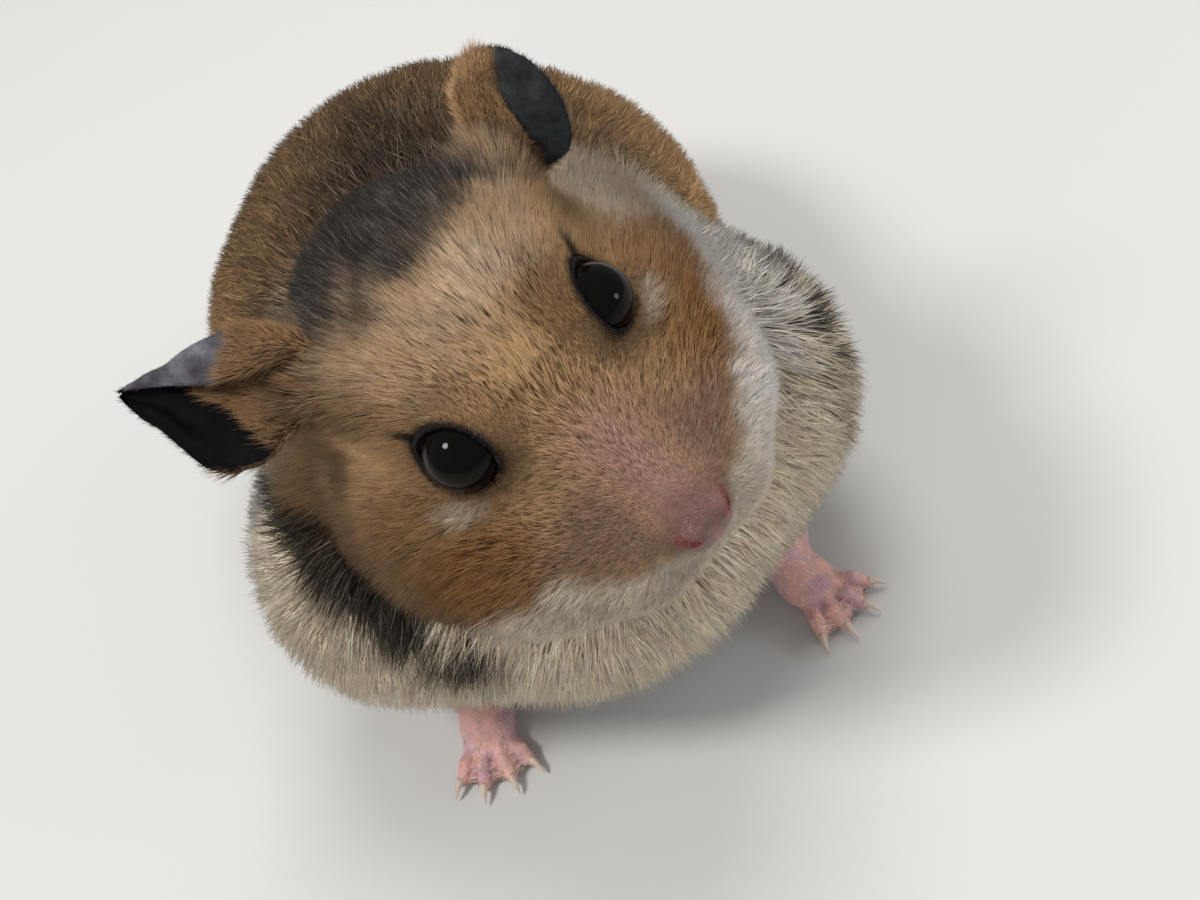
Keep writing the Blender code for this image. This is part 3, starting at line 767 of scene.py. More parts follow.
    for side, drop in ((-1, (0, 0, 0)), (1, (3.5, 6.0, -14.5))):
        d = chain_distance(q, qn, STRIPE_RIM, side, drop) - (2.4 if side < 0 else 1.9)
        if side < 0:
            d = np.minimum(d, chain_distance(q, qn, STRIPE_NECK, side, drop) - 2.2)
        w = 1 - step(-0.9, 0.9, d + 2.0 * wob + 0.7 * fine)
        c = mix(c, SOOT, 0.94 * w)
        tick = tick * (1 - w)
    tick = mix(tick, 0.10 * (1 - white), hw)
    return c, tick, crown * hw


def skin_colours(p, n):
    c, _, _ = markings_and_painted_light(p, n)
    q = to_head(p)
    c = mix(c * 0.62, SLATE * 0.45, 0.30 - 0.12 * head_share(p))
    nose = np.linalg.norm((q - np.array([0, -23.0, -4.2])) / np.array([2.9, 1.9, 2.25]), axis=1)
    c = mix(c, MAUVE, 1 - step(0.85, 1.3, nose))
    inner = np.minimum(
        to_segment(q, (1.35, -23.6, -4.4), (2.7, -22.4, -3.4))[0], to_segment(q, (-1.35, -23.6, -4.4), (-2.7, -22.4, -3.4))[0]
    )
    c = mix(c, srgb(120, 48, 52), (1 - step(0.38, 0.7, inner)) * 0.9)
    cleft = to_segment(q, (0, -23.5, -4.5), (0, -22.3, -9.6))[0]
    c = mix(c, srgb(150, 96, 92), (1 - step(0.25, 0.8, cleft)) * 0.6)
    for side in (1, -1):
        lens, r, z = eye_opening(q, side)
        near = (r < 6.5) & (z > -2)
        c = np.where((near & (lens < 3))[:, None], mix(c, DARK_LID, 1 - step(0.40, 1.0, lens)), c)
    c = mix(c, DARK_LID, 1 - step(0.4, 1.0, corner_distance(q)))
    paws = paw_distance(p)
    bare = 1 - step(0.2, 1.6, paws)
    blotch = noise(p, 1.6, 21)
    c = mix(c, mix(np.tile(PINK, (len(p), 1)), PURPLE_PINK, step(-0.15, 0.25, blotch)), bare)
    tail = 1 - step(0.2, 1.4, tail_distance(p))
    c = mix(c, PINK * 0.95, tail)
    bare = np.maximum(np.maximum(bare, tail), 1 - step(0.9, 1.25, nose))
    return c, bare


# ------------------------------------------------------------------ the lie and length of the coat
def lie(p, n):
    """Direction of the hair over the skin."""
    q = to_head(p)
    hw = head_share(p)
    away = unit(q - np.array([0, -25.0, -1.5]))
    cheek = step(6, 13, np.abs(q[:, 0])) * step(4, -4, q[:, 2])
    away[:, 2] -= 0.55 * cheek
    away[:, 2] -= 0.5 * step(-8, -13, q[:, 2])
    for side in (1, -1):  # hair parts round each eye
        at, h, v, o = eye_frame(side)
        rel = q - at
        r = np.linalg.norm(rel, axis=1)
        x, y = rel @ h, rel @ v
        g = 1.5 * np.exp(-np.clip(r - 3.4, 0, None) / 1.3) * step(-1.0, 1.0, x)
        away += (g * np.where(y > -0.2, 1.0, -1.0))[:, None] * v
        rear = 0.5 * np.exp(-np.clip(r - 3.4, 0, None) / 2.0) * step(1.0, -1.0, x)
        away += rear[:, None] * (-h)
    head = unit(away) @ HEAD_TURN.T
    side_on = np.abs(n[:, 0])
    body = np.stack([
        0.12 * np.tanh(p[:, 0] / 9.0), 1.0 - 0.25 * side_on, -0.15 - 0.75 * side_on - 0.5 * step(20, 8, p[:, 2])
    ], 1)
    chest = step(-0.05, -0.55, n[:, 1]) * step(6, -6, p[:, 1])
    down = np.stack([0.30 * np.tanh(p[:, 0] / 10.0), 0.25 * np.ones(len(p)), -1.0 * np.ones(len(p))], 1)
    body = mix(body, down, chest)
    for (side, hind), (_, toes) in PAWS.items():
        centre = np.mean([t[1] for t in toes], axis=0)
        root = np.array([*(HEEL_L if side > 0 else HEEL_R), 3.0]) if hind else np.array([*(HAND_L if side > 0 else HAND_R), 3.0])
        d, _ = to_segment(p, root, centre)
        towards = unit(centre - root + np.array([0, 0, -0.3]))
        body = mix(body, np.tile(towards, (len(p), 1)), 1 - step(3.5, 9, d))
    f = mix(unit(body), head, step(0.25, 0.75, hw))
    f = f + 0.55 * noise3(p, 5.0, 31) + 0.30 * noise3(p, 1.9, 37)
    f = f - n * (f * n).sum(1)[:, None]
    return unit(f)


def coat_length(p, n):
    q = to_head(p)
    hw = head_share(p)
    t = np.linalg.norm(q - NOSE, axis=1)
    head = 0.50 + 0.85 * step(2.2, 8, t) + 1.05 * step(8, 20, t) + 1.5 * step(19, 31, t)
    head = head * (1 - 0.12 * step(5, 10, q[:, 2]))
    head = head + 2.8 * step(12.5, 17.5, np.abs(q[:, 0])) * step(1, -5, q[:, 2]) * step(-16, -9, q[:, 1])
    eye = np.minimum(*(np.linalg.norm(q - eye_frame(s)[0], axis=1) for s in (1, -1)))
    head = head * (0.28 + 0.72 * step(3.6, 8.0, eye))
    body = 5.6 + 0.9 * step(0, -12, p[:, 1]) - 1.4 * step(12, 4, p[:, 2])
    length = mix(body, head, hw)
    length = mix(np.full(len(p), 0.75), length, step(0.4, 8.0, paw_distance(p)))
    return mix(np.full(len(p), 0.7), length, step(0.4, 6.0, tail_distance(p)))


def nose_bare(q):
    return (np.linalg.norm((q - np.array([0, -23.5, -5.0])) / np.array([2.3, 1.7, 1.6]), axis=1) < 1.0) | (
        (to_segment(q, (0, -23.5, -5.5), (0, -22.4, -9.4))[0] < 0.35)
    )


# ------------------------------------------------------------------ tufts
def grow(rng, root, n, f, length, rise, width, clump, rings, colours, uv):
    """Closed three-sided tapering tufts. Returns points, triangles, colours and corner UVs.
    rise is the height of the tip over the skin; colours is (root, middle, tip)."""
    count = len(root)
    along = np.sqrt(np.maximum(length**2 - rise**2, (0.3 * length) ** 2))
    tip = root + f * along[:, None] + n * rise[:, None]
    bend = root + f * (0.42 * along)[:, None] + n * (0.72 * rise)[:, None]
    centre, share = clump
    pull = tip[centre] - tip
    far = np.linalg.norm(pull, axis=1)
    pull = pull * np.minimum(1.0, 1.6 * length / np.maximum(far, 1e-6))[:, None]
    tip = tip + pull * share[:, None]
    bend = bend + pull * (0.30 * share)[:, None]
    start = root - n * 0.12
    side = unit(np.cross(f, n))
    twist = rng.uniform(-0.5, 0.5, count)
    side = unit(side + n * twist[:, None])
    ts = {1: [0.0], 2: [0.0, 0.42], 3: [0.0, 0.34, 0.70]}[rings]
    shape = {1: [1.0], 2: [0.75, 1.0], 3: [0.75, 1.0, 0.66]}[rings]
    low_colour = mix(colours[0], colours[1], 0.55) if rings == 1 else colours[0]
    angles = np.radians([90.0, 210.0, 330.0])
    size = rings * 3 + 1
    pts = np.empty((count, size, 3))
    col = np.empty((count, size, 3))
    uvs = np.empty((count, size, 2))
    for k, (t, s) in enumerate(zip(ts, shape)):
        c = start * (1 - t) ** 2 + bend * (2 * t * (1 - t)) + tip * t**2
        tangent = unit((bend - start) * (1 - t) + (tip - bend) * t + 1e-9)
        a = unit(side - tangent * (side * tangent).sum(1)[:, None])
        b = np.cross(tangent, a)
        b = b * np.sign((b * n).sum(1) + 1e-12)[:, None]
        for i, ang in enumerate(angles):
            pts[:, 3 * k + i] = c + (a * math.cos(ang) + b * (0.55 * math.sin(ang))) * (width * s * 0.5)[:, None]
            col[:, 3 * k + i] = low_colour if k == 0 else (colours[1] if (rings == 2 or k == 1) else 0.5 * (colours[1] + colours[2]))
            uvs[:, 3 * k + i] = uv + np.array([0.0015 * (i - 1), 0.003 * t - 0.0015])
    pts[:, -1] = tip
    col[:, -1] = colours[2]
    uvs[:, -1] = uv + np.array([0.0, 0.0015])
    tri = [(0, 1, 2)]
    for k in range(rings - 1):
        for i in range(3):
            a, b = 3 * k + i, 3 * k + (i + 1) % 3
            tri += [(a, b + 3, b), (a, a + 3, b + 3)]
    last = 3 * (rings - 1)
    for i in range(3):
        tri.append((last + i, size - 1, last + (i + 1) % 3))
    tri = np.array(tri)
    # outward whichever way the frame turned
    first = pts[:, [0, 1, 2]]
    flip = (np.cross(first[:, 1] - first[:, 0], first[:, 2] - first[:, 0]) * (tip - start)).sum(1) > 0
    tris = np.where(flip[:, None, None], tri[None, :, ::-1], tri[None]) + (np.arange(count) * size)[:, None, None]
    tris = tris.reshape(-1, 3)
    return pts.reshape(-1, 3), tris, col.reshape(-1, 3), uvs.reshape(-1, 2)


def scatter(rng, points, tris, density, total):
    """Random roots on a mesh, more where density is higher."""
    a, b, c = points[tris[:, 0]], points[tris[:, 1]], points[tris[:, 2]]
    area = np.linalg.norm(np.cross(b - a, c - a), axis=1) / 2
    weight = area * density
    edges = np.cumsum(weight)
    # evenly spread draws with a little jitter keep the coat free of bald spots
    draws = (np.arange(total) + rng.uniform(0, 1, total)) / total * edges[-1]
    which = np.searchsorted(edges, draws).clip(0, len(tris) - 1)
    u, v = rng.uniform(0, 1, total), rng.uniform(0, 1, total)
    over = u + v > 1
    u[over], v[over] = 1 - u[over], 1 - v[over]
    bary = np.stack([1 - u - v, u, v], 1)
    return (points[tris[which]] * bary[:, :, None]).sum(1), which, bary


def patch_uv(p, centre, axis):
    """Unwrap round a middle point: straight distance from the axis becomes distance from the patch's
    middle, so that neighbours on the skin stay neighbours. Scaled later to the unit square."""
    axis = unit(np.asarray(axis, float))
    rel = unit(p - centre)
    up = np.array([0, 0, 1.0]) if abs(axis[2]) < 0.9 else np.array([0, 1.0, 0])
    a = unit(np.cross(up, axis))
    b = np.cross(axis, a)
    angle = np.arccos(np.clip(rel @ axis, -1, 1))
    across = np.stack([rel @ a, rel @ b], 1)
    return unit(across + 1e-9) * angle[:, None]


def nearest_clump(root, every, rng):
    """For each root, the index of the root that leads its lock."""
    leaders = np.sort(rng.choice(len(root), max(2, len(root) // every), replace=False))
    tree = KDTree(len(leaders))
    for k in leaders:
        tree.insert(Vector(root[k]), int(k))
    tree.balance()
    return np.array([tree.find(Vector(r))[1] for r in root])


def coat_piece(name, rng, skin, density, total, rings, width, every, share, centre, axis, extra=None):
    points, tris, normals = skin
    root, which, bary = scatter(rng, points, tris, density, total)
    n = unit((normals[tris[which]] * bary[:, :, None]).sum(1))
    f = lie(root, n)
    length = coat_length(root, n)
    q = to_head(root)
    ring = eye_distance(q)
    keep = ~((ring < 0.42) | nose_bare(q) | (root[:, 2] < 0.8) | ((root[:, 2] < 2.2) & (n[:, 2] < -0.3)))
    paws = paw_distance(root)
    thin = rng.uniform(0, 1, len(root))
    keep &= ~((paws < 0.9) & (thin > 0.40))
    keep &= ~((tail_distance(root) < 0.9) & (thin > 0.35))
    root, n, f, length, ring = root[keep], n[keep], f[keep], length[keep], ring[keep]
    count = len(root)
    length = length * rng.uniform(0.72, 1.22, count)
    length = np.minimum(length, 0.30 + 0.8 * np.clip(ring, 0, 50))
    depth = coat_depth(root)
    rise = depth * rng.uniform(0.62, 1.12, count) + 0.05
    rise = np.minimum(rise, 0.75 * length)
    on_head = head_share(root)
    f = unit(f + 0.15 * rng.standard_normal((count, 3)))
    f = unit(f - n * (f * n).sum(1)[:, None])
    # keep the tips at their height over the skin where it curves
    tip = root + f * np.sqrt(length**2 - rise**2)[:, None] + n * rise[:, None]
    over = field(tip, FLESH) + depth - rise
    rise = np.clip(rise - np.clip(over, -1.2, 1.2), 0.20 * length, 0.85 * length)
    leaders = nearest_clump(root, every, rng)
    swing = rng.standard_normal((count, 3))[leaders] * 0.20
    f = unit(f + swing * (1 - 0.45 * on_head)[:, None])
    f = unit(f - n * (f * n).sum(1)[:, None])
    colour, tick, _ = markings_and_painted_light(root, n)
    tone = 1 + (0.15 - 0.05 * on_head) * rng.standard_normal(count)
    tone *= 1 + (0.12 - 0.04 * on_head) * rng.standard_normal(count)[leaders]
    warm = 1 + 0.03 * rng.standard_normal((count, 3))
    colour = colour * np.clip(tone, 0.45, 1.6)[:, None] * warm
    dark = rng.uniform(0, 1, count) < tick
    pale = rng.uniform(0, 1, count) < 0.12
    tip_colour = np.where(dark[:, None], colour * 0.40, np.where(pale[:, None], mix(colour, CREAM, 0.25), colour * 1.06))
    light = step(0.35, 0.62, colour.mean(1))
    root_colour = mix(colour * (0.42 + 0.18 * on_head + 0.26 * light)[:, None], SLATE * 0.38, 0.42 - 0.20 * on_head - 0.18 * light)
    root_colour = np.minimum(root_colour, colour)
    uv = patch_uv(root, centre, axis)
    low, high = uv.min(0), uv.max(0)
    uv = 0.01 + 0.98 * (uv - low) / (high - low).max()
    w = width * rng.uniform(0.7, 1.25, count) * np.clip(length / 2.6, 0.42, 1.15)
    pts, tri, col, uvs = grow(
        rng, root, n, f, length, rise, w, (leaders, share * rng.uniform(0.5, 1.3, count)), rings,
        (root_colour, colour, tip_colour), uv,
    )
    pts[:, 2] = np.maximum(pts[:, 2], 0.05)
    mesh = mesh_of(name, pts, tri)
    paint(mesh, "coat_colour", col)
    layer = mesh.uv_layers.new(name="OFBake")
    layer.data.foreach_set("uv", uvs[tri.ravel()].astype(np.float32).ravel())
    obj = new_object(name, mesh)
    obj.data.materials.append(FUR)
    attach(obj, "root")
    print(f"{name}: {count} tufts, {len(tri)} triangles")
    return obj


# ------------------------------------------------------------------ materials
class Nodes:
    """A small way to write a node material."""

    def __init__(self, name):
        self.mat = bpy.data.materials.new(name)
        self.mat.use_nodes = True
        self.tree = self.mat.node_tree
        self.shader = self.tree.nodes["Principled BSDF"]

    def add(self, kind, **inputs):
        node = self.tree.nodes.new(kind)
        for key, value in inputs.items():
            name = key.replace("_", " ")
            if name in node.inputs:
                if isinstance(value, bpy.types.NodeSocket):
                    self.tree.links.new(value, node.inputs[name])
                else:
                    node.inputs[name].default_value = value
            else:
                setattr(node, key, value)
        return node

    def link(self, a, b):
        self.tree.links.new(a, b)

    def set(self, **inputs):
        for key, value in inputs.items():
            self.shader.inputs[key.replace("_", " ")].default_value = value

    def noise(self, scale, detail=3.0, rough=0.55, coords=None):
        node = self.add("ShaderNodeTexNoise", Scale=scale, Detail=detail, Roughness=rough)
        self.link(self.object() if coords is None else coords, node.inputs["Vector"])
        return node.outputs["Fac"]

    def object(self):
        if not hasattr(self, "_object"):
            self._object = self.tree.nodes.new("ShaderNodeTexCoord").outputs["Object"]
        return self._object

    def ramp(self, value, low, high, a=0.0, b=1.0):
        node = self.add("ShaderNodeMapRange")
        node.inputs["From Min"].default_value = a
        node.inputs["From Max"].default_value = b
        node.inputs["To Min"].default_value = low
        node.inputs["To Max"].default_value = high
        self.link(value, node.inputs["Value"])
        return node.outputs["Result"]

    def times(self, colour, value):
        node = self.tree.nodes.new("ShaderNodeVectorMath")
        node.operation = "SCALE"
        self.link(colour, node.inputs[0])
        self.link(value, node.inputs["Scale"])
        return node.outputs["Vector"]

    def attribute(self, name):
        node = self.tree.nodes.new("ShaderNodeAttribute")
        node.attribute_name = name
        return node.outputs["Color"]

    def mixed(self, a, b, factor):
        node = self.tree.nodes.new("ShaderNodeMix")
        node.data_type = "RGBA"
        for value, socket in ((factor, node.inputs["Factor"]), (a, node.inputs["A"]), (b, node.inputs["B"])):
            if isinstance(value, bpy.types.NodeSocket):
                self.link(value, socket)
            else:
                socket.default_value = value
        # the RGBA sockets of a Mix node share names with others, so set them by type
        for s in node.inputs:
            if s.type == "RGBA" and s.name == "A" and not isinstance(a, bpy.types.NodeSocket):
                s.default_value = a
            if s.type == "RGBA" and s.name == "B" and not isinstance(b, bpy.types.NodeSocket):
                s.default_value = b
        return next(o for o in node.outputs if o.type == "RGBA")

    def bump(self, height, distance, strength=1.0):
        node = self.add("ShaderNodeBump", Strength=strength, Distance=distance)
        self.link(height, node.inputs["Height"])
        self.link(node.outputs["Normal"], self.shader.inputs["Normal"])


def fur_material():
    m = Nodes("golden_coat")
    tone = m.ramp(m.noise(900.0, 2.0), 0.86, 1.12, 0.3, 0.7)
    m.link(m.times(m.attribute("coat_colour"), tone), m.shader.inputs["Base Color"])
    m.set(Roughness=0.72, Specular_IOR_Level=0.10)
    return m.mat


def skin_material():
    m = Nodes("skin_under_coat")
    tone = m.ramp(m.noise(1400.0, 3.0), 0.75, 1.15, 0.3, 0.7)
    m.link(m.times(m.attribute("skin_colour"), tone), m.shader.inputs["Base Color"])
    m.set(Roughness=0.8, Specular_IOR_Level=0.25)
    m.bump(m.noise(2200.0, 4.0), 0.00012, 0.9)
    return m.mat


def bare_material():
    m = Nodes("bare_skin")
    tone = m.ramp(m.noise(700.0, 3.0), 0.82, 1.15, 0.3, 0.7)
    m.link(m.times(m.attribute("skin_colour"), tone), m.shader.inputs["Base Color"])
    m.set(Roughness=0.42, Specular_IOR_Level=0.45, Subsurface_Weight=0.15, Subsurface_Scale=0.0008)
    cells = m.tree.nodes.new("ShaderNodeTexVoronoi")
    cells.feature = "DISTANCE_TO_EDGE"
    cells.inputs["Scale"].default_value = 2600.0
    m.link(m.object(), cells.inputs["Vector"])
    m.bump(m.ramp(cells.outputs["Distance"], 0.0, 1.0, 0.0, 0.25), 0.00006, 0.8)
    return m.mat


def eye_material():
    m = Nodes("wet_black_eye")
    hue = m.mixed((0.0016, 0.0013, 0.0013, 1.0), (0.0050, 0.0034, 0.0030, 1.0), m.noise(500.0, 2.0))
    m.link(hue, m.shader.inputs["Base Color"])
    m.set(Roughness=0.10, Specular_IOR_Level=0.05, Coat_Weight=0.13, Coat_Roughness=0.03)
    return m.mat


def ear_material():
    m = Nodes("ear_velvet")
    tone = m.ramp(m.noise(1100.0, 3.0), 0.7, 1.3, 0.3, 0.7)
    m.link(m.times(m.attribute("skin_colour"), tone), m.shader.inputs["Base Color"])
    m.set(Roughness=0.75, Specular_IOR_Level=0.10)
    m.bump(m.noise(2400.0, 4.0), 0.00010, 0.8)
    return m.mat


def horn_material():
    m = Nodes("claw_horn")
    hue = m.mixed((0.52, 0.38, 0.30, 1.0), (0.72, 0.60, 0.50, 1.0), m.noise(1500.0, 2.0))
    m.link(hue, m.shader.inputs["Base Color"])
    m.set(Roughness=0.3, Coat_Weight=0.3, Coat_Roughness=0.15)
    return m.mat


def whisker_material():
    m = Nodes("whisker_hair")
    hue = m.mixed((0.30, 0.25, 0.20, 1.0), (0.55, 0.50, 0.44, 1.0), m.noise(300.0, 2.0))
    m.link(hue, m.shader.inputs["Base Color"])
    m.set(Roughness=0.4)
    return m.mat


def floor_material():
    m = Nodes("pale_floor")
    hue = m.mixed((0.62, 0.615, 0.60, 1.0), (0.65, 0.645, 0.63, 1.0), m.noise(3.0, 2.0))
    m.link(hue, m.shader.inputs["Base Color"])
    m.set(Roughness=0.85, Specular_IOR_Level=0.2)
    return m.mat


FUR, SKIN, BARE = fur_material(), skin_material(), bare_material()
EYE, EAR, HORN, WHISKER = eye_material(), ear_material(), horn_material(), whisker_material()


# ------------------------------------------------------------------ ears
EARS = {
    1: dict(root=(14.6, 9.4, 9.0), axis=(0.37, -0.37, 0.85), hollow=(0.87, 0.34, -0.25), reach=9.6, width=5.4,
            roll_root=100, roll_tip=60, flop=0.3, deep=0.35),
    -1: dict(root=(-14.4, 9.0, 9.0), axis=(-0.56, 0.70, 0.44), hollow=(-0.133, -0.602, 0.787), reach=12.3, width=6.0),
}
EAR_SINK = 5.0
# The right ear's blade, by height: its top fold, where the fold's free edge lies, and its lower edge.
FOLD_S = [-5, -2.7, -0.5, 2, 4.2, 6, 8.4, 10, 11.5, 12.3]
FOLD_TOP = [-3.6, -4.6, -5.1, -5.1, -4.3, -3.0, -1.3, -0.3, 0.7, 1.15]
FOLD_FREE = [-3.0, -3.4, -2.6, -1.2, -0.2, 0.0, 0.3, 0.6, 0.95, 1.2]
FOLD_LOW = [-2.2, 2.2, 5.6, 6.7, 6.4, 5.2, 3.7, 3.1, 2.1, 1.35]


def ear_axes(side):
    spec = EARS[side]
    a = unit(np.array(spec["axis"], float))
    n = np.array(spec["hollow"], float)
    n = unit(n - a * (n @ a))
    return a, n, np.cross(a, n) * side


def ear_width(t):
    if t < 0.45:
        return 0.80 + 0.20 * math.sin(math.pi / 2 * max(t, 0.0) / 0.45)
    return max(0.0, 1.0 - ((t - 0.45) / 0.55) ** 1.9) ** 0.62


def open_ear_point(u, s):
    """The left ear: a shallow hollow blade. u runs across from -1 to 1, s is the height over the root."""
    spec = EARS[1]
    a, n, w = ear_axes(1)
    t = (s + EAR_SINK) / (spec["reach"] + EAR_SINK)
    half = math.radians(spec["roll_root"] * (1 - t) ** 0.8 + spec["roll_tip"] * (1 - (1 - t) ** 0.8))
    wide = max(spec["width"] * ear_width(t), 0.5)
    wide *= 0.35 + 0.65 * float(step(-5.0, 0.5, np.array([s]))[0])
    radius = wide / math.sin(min(half, math.radians(90)))
    theta = half * u
    x = radius * math.sin(theta)
    deep = radius * (1 - math.cos(theta)) * spec["deep"]
    bend = spec["flop"] * max(0.0, t - 0.5) ** 2 * 4
    return np.array(spec["root"], float) + a * s + w * x + n * (deep + bend), x


def folded_ear_point(u, s):
    """The right ear: its upper rim is folded forward over the hollow. u runs from the fold's free edge,
    over the fold and through the hollow, to the lower edge."""
    a, n, w = ear_axes(-1)
    top, free, low = (float(np.interp(s, FOLD_S, row)) for row in (FOLD_TOP, FOLD_FREE, FOLD_LOW))
    f = 0.30 + 0.70 * float(step(12.6, 5.0, np.array([s]))[0])
    wide = low - top
    v = (u + 1) / 2
    at = [0.0, 0.13, 0.24, 0.31, 0.50, 0.76, 1.0]
    xs = [free, 0.5 * (free + top), top + 0.15, top + 0.10, top + 0.34 * wide, top + 0.74 * wide, low]
    ds = [3.3, 3.8, 3.4, 2.3, 0.5, 0.7, 2.3]
    k = min(int(np.searchsorted(at, v, side="right")) - 1, len(at) - 2)
    r = (v - at[k]) / (at[k + 1] - at[k])

    def curve(row):
        p1, p2 = row[k], row[k + 1]
        m1 = (row[k + 1] - row[k - 1]) / (at[k + 1] - at[k - 1]) if k else (p2 - p1) / (at[1] - at[0])
        m2 = (row[k + 2] - row[k]) / (at[k + 2] - at[k]) if k + 2 < len(row) else (p2 - p1) / (at[-1] - at[-2])
        span = at[k + 1] - at[k]
        return (
            (2 * r**3 - 3 * r**2 + 1) * p1 + (r**3 - 2 * r**2 + r) * span * m1
            + (-2 * r**3 + 3 * r**2) * p2 + (r**3 - r**2) * span * m2
        )

    x, d = curve(xs), curve(ds) * f
    d -= 1.8 * float(step(1.0, -5.0, np.array([s]))[0])
    return np.array(EARS[-1]["root"], float) + a * s + w * x + n * d, x


def make_ear(side, tag, rng):
    across, along = ((56, 44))
    reach = EARS[side]["reach"]
    grid = np.empty((along + 1, across + 1, 3))
    xs = np.empty((along + 1, across + 1))
    us = np.linspace(-1, 1, across + 1)
    ss = -EAR_SINK + (reach + EAR_SINK) * 0.992 * (1 - (1 - np.linspace(0, 1, along + 1)) ** 1.25)
    point = open_ear_point if side > 0 else folded_ear_point
    for j, s in enumerate(ss):
        for i, u in enumerate(us):
            grid[j, i], xs[j, i] = point(u, s)
    n = unit(np.cross(np.gradient(grid, axis=1), np.gradient(grid, axis=0)))
    _, hollow, _ = ear_axes(side)
    if (n[along // 2, int(across * 0.6)] @ hollow) < 0:
        n = -n
    U, S = np.meshgrid(us, ss)
    edge = np.minimum(1 - np.abs(U), (reach - S) / 4.0)
    thick = 0.09 + 0.42 * step(0, 0.30, edge)
    flat = grid.reshape(-1, 3)
    wrinkle = 0.10 * np.sin(U * 11 + 1.5 * np.sin(S * 0.8)) * step(0.05, 0.4, 1 - np.abs(U)) * step(reach, reach - 3, S)
    wrinkle += 0.16 * noise(flat, 2.0, 51 + side).reshape(U.shape)
    middle = grid + n * wrinkle[..., None]
    inner = middle + n * (thick / 2)[..., None]
    outer = middle - n * (thick / 2)[..., None]
    size = (along + 1) * (across + 1)
    pts = np.concatenate([inner.reshape(-1, 3), outer.reshape(-1, 3)])
    idx = np.arange(size).reshape(along + 1, across + 1)
    a, b, c, d = idx[:-1, :-1].ravel(), idx[:-1, 1:].ravel(), idx[1:, 1:].ravel(), idx[1:, :-1].ravel()
    tris = np.concatenate([np.stack([a, b, c], 1), np.stack([a, c, d], 1)])
    normal = np.cross(pts[tris[:, 1]] - pts[tris[:, 0]], pts[tris[:, 2]] - pts[tris[:, 0]])
    if (normal * n.reshape(-1, 3)[tris[:, 0]]).sum() < 0:
        tris = tris[:, ::-1]
        border = np.concatenate([idx[0][::-1], idx[1:, 0], idx[-1, 1:], idx[-2:0:-1, -1]])
    else:
        border = np.concatenate([idx[0], idx[1:, -1], idx[-1, -2::-1], idx[-2:0:-1, 0]])
    back = tris[:, ::-1] + size
    # the border runs the way the inner face does, so the wall between the faces closes outwards
    nxt = np.roll(border, -1)
    wall = np.concatenate([np.stack([border, border + size, nxt + size], 1), np.stack([border, nxt + size, nxt], 1)])
    all_tris = np.concatenate([tris, back, wall])
    world = HEAD_AT + pts @ HEAD_TURN.T
    Uf, Sf, Xf = (np.tile(v.ravel(), 2) for v in (U, S, xs))
    behind = np.arange(2 * size) >= size
    # the left ear is a lighter grey than the right ear's near-black: painted light, as the left ear faces away from the
    # lamps
    black = srgb(11, 11, 13) if side < 0 else srgb(52, 54, 57)
    col = np.tile(black, (2 * size, 1)) * (1 + 0.7 * noise(world, 1.4, 61))[:, None]
    brown = srgb(134, 104, 76) if side < 0 else srgb(164, 132, 98)
    if side > 0:
        line = np.interp(Sf, [-5, 0.65, 3.0, 4.6, 8.3, 9.6], [-6, -2.9, -1.0, 0.8, 1.6, 1.8])
        tan_part = step(-0.7, 0.7, Xf - line + 1.2 * noise(world, 1.6, 66)) * behind
        col = mix(col, brown * 0.7, tan_part)
        rim = np.maximum(step(0.80, 0.95, Uf), step(reach - 2.2, reach - 0.9, Sf))
        col = mix(col, srgb(70, 60, 54), 0.8 * rim * tan_part)
    else:
        # the fold's outer face is grey: partly its fine grey hairs, partly painted sheen where it turns up to the light
        fold = step(-0.30, -0.46, Uf) * behind
        fold_grey_and_sheen = mix(np.tile(srgb(100, 98, 105), (2 * size, 1)), srgb(74, 71, 76), step(0.0, 0.5, noise(world, 1.2, 63) + 0.25))
        col = mix(col, fold_grey_and_sheen, fold)
        wobble = 1.5 * noise(world, 1.6, 66)
        tan_part = step(3.6, 1.8, Sf + wobble) * behind
        line = np.interp(Xf, [0.3, 0.85, 1.3, 2.9, 4.0, 5.5, 6.7], [4.9, 3.8, 1.9, 0.4, -1.0, -2.4, -3.4])
        tan_part = np.maximum(tan_part, step(0.6, -0.6, Sf - line + wobble) * step(-0.45, -0.25, Uf) * ~behind)
        col = mix(col, brown * 0.8, tan_part)
    name = "ear_skin_" + tag
    mesh = mesh_of(name, world, all_tris)
    paint(mesh, "skin_colour", col)
    obj = new_object(name, mesh)
    obj.data.materials.append(EAR)
    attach(obj, "root")
    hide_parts("ear_" + tag)

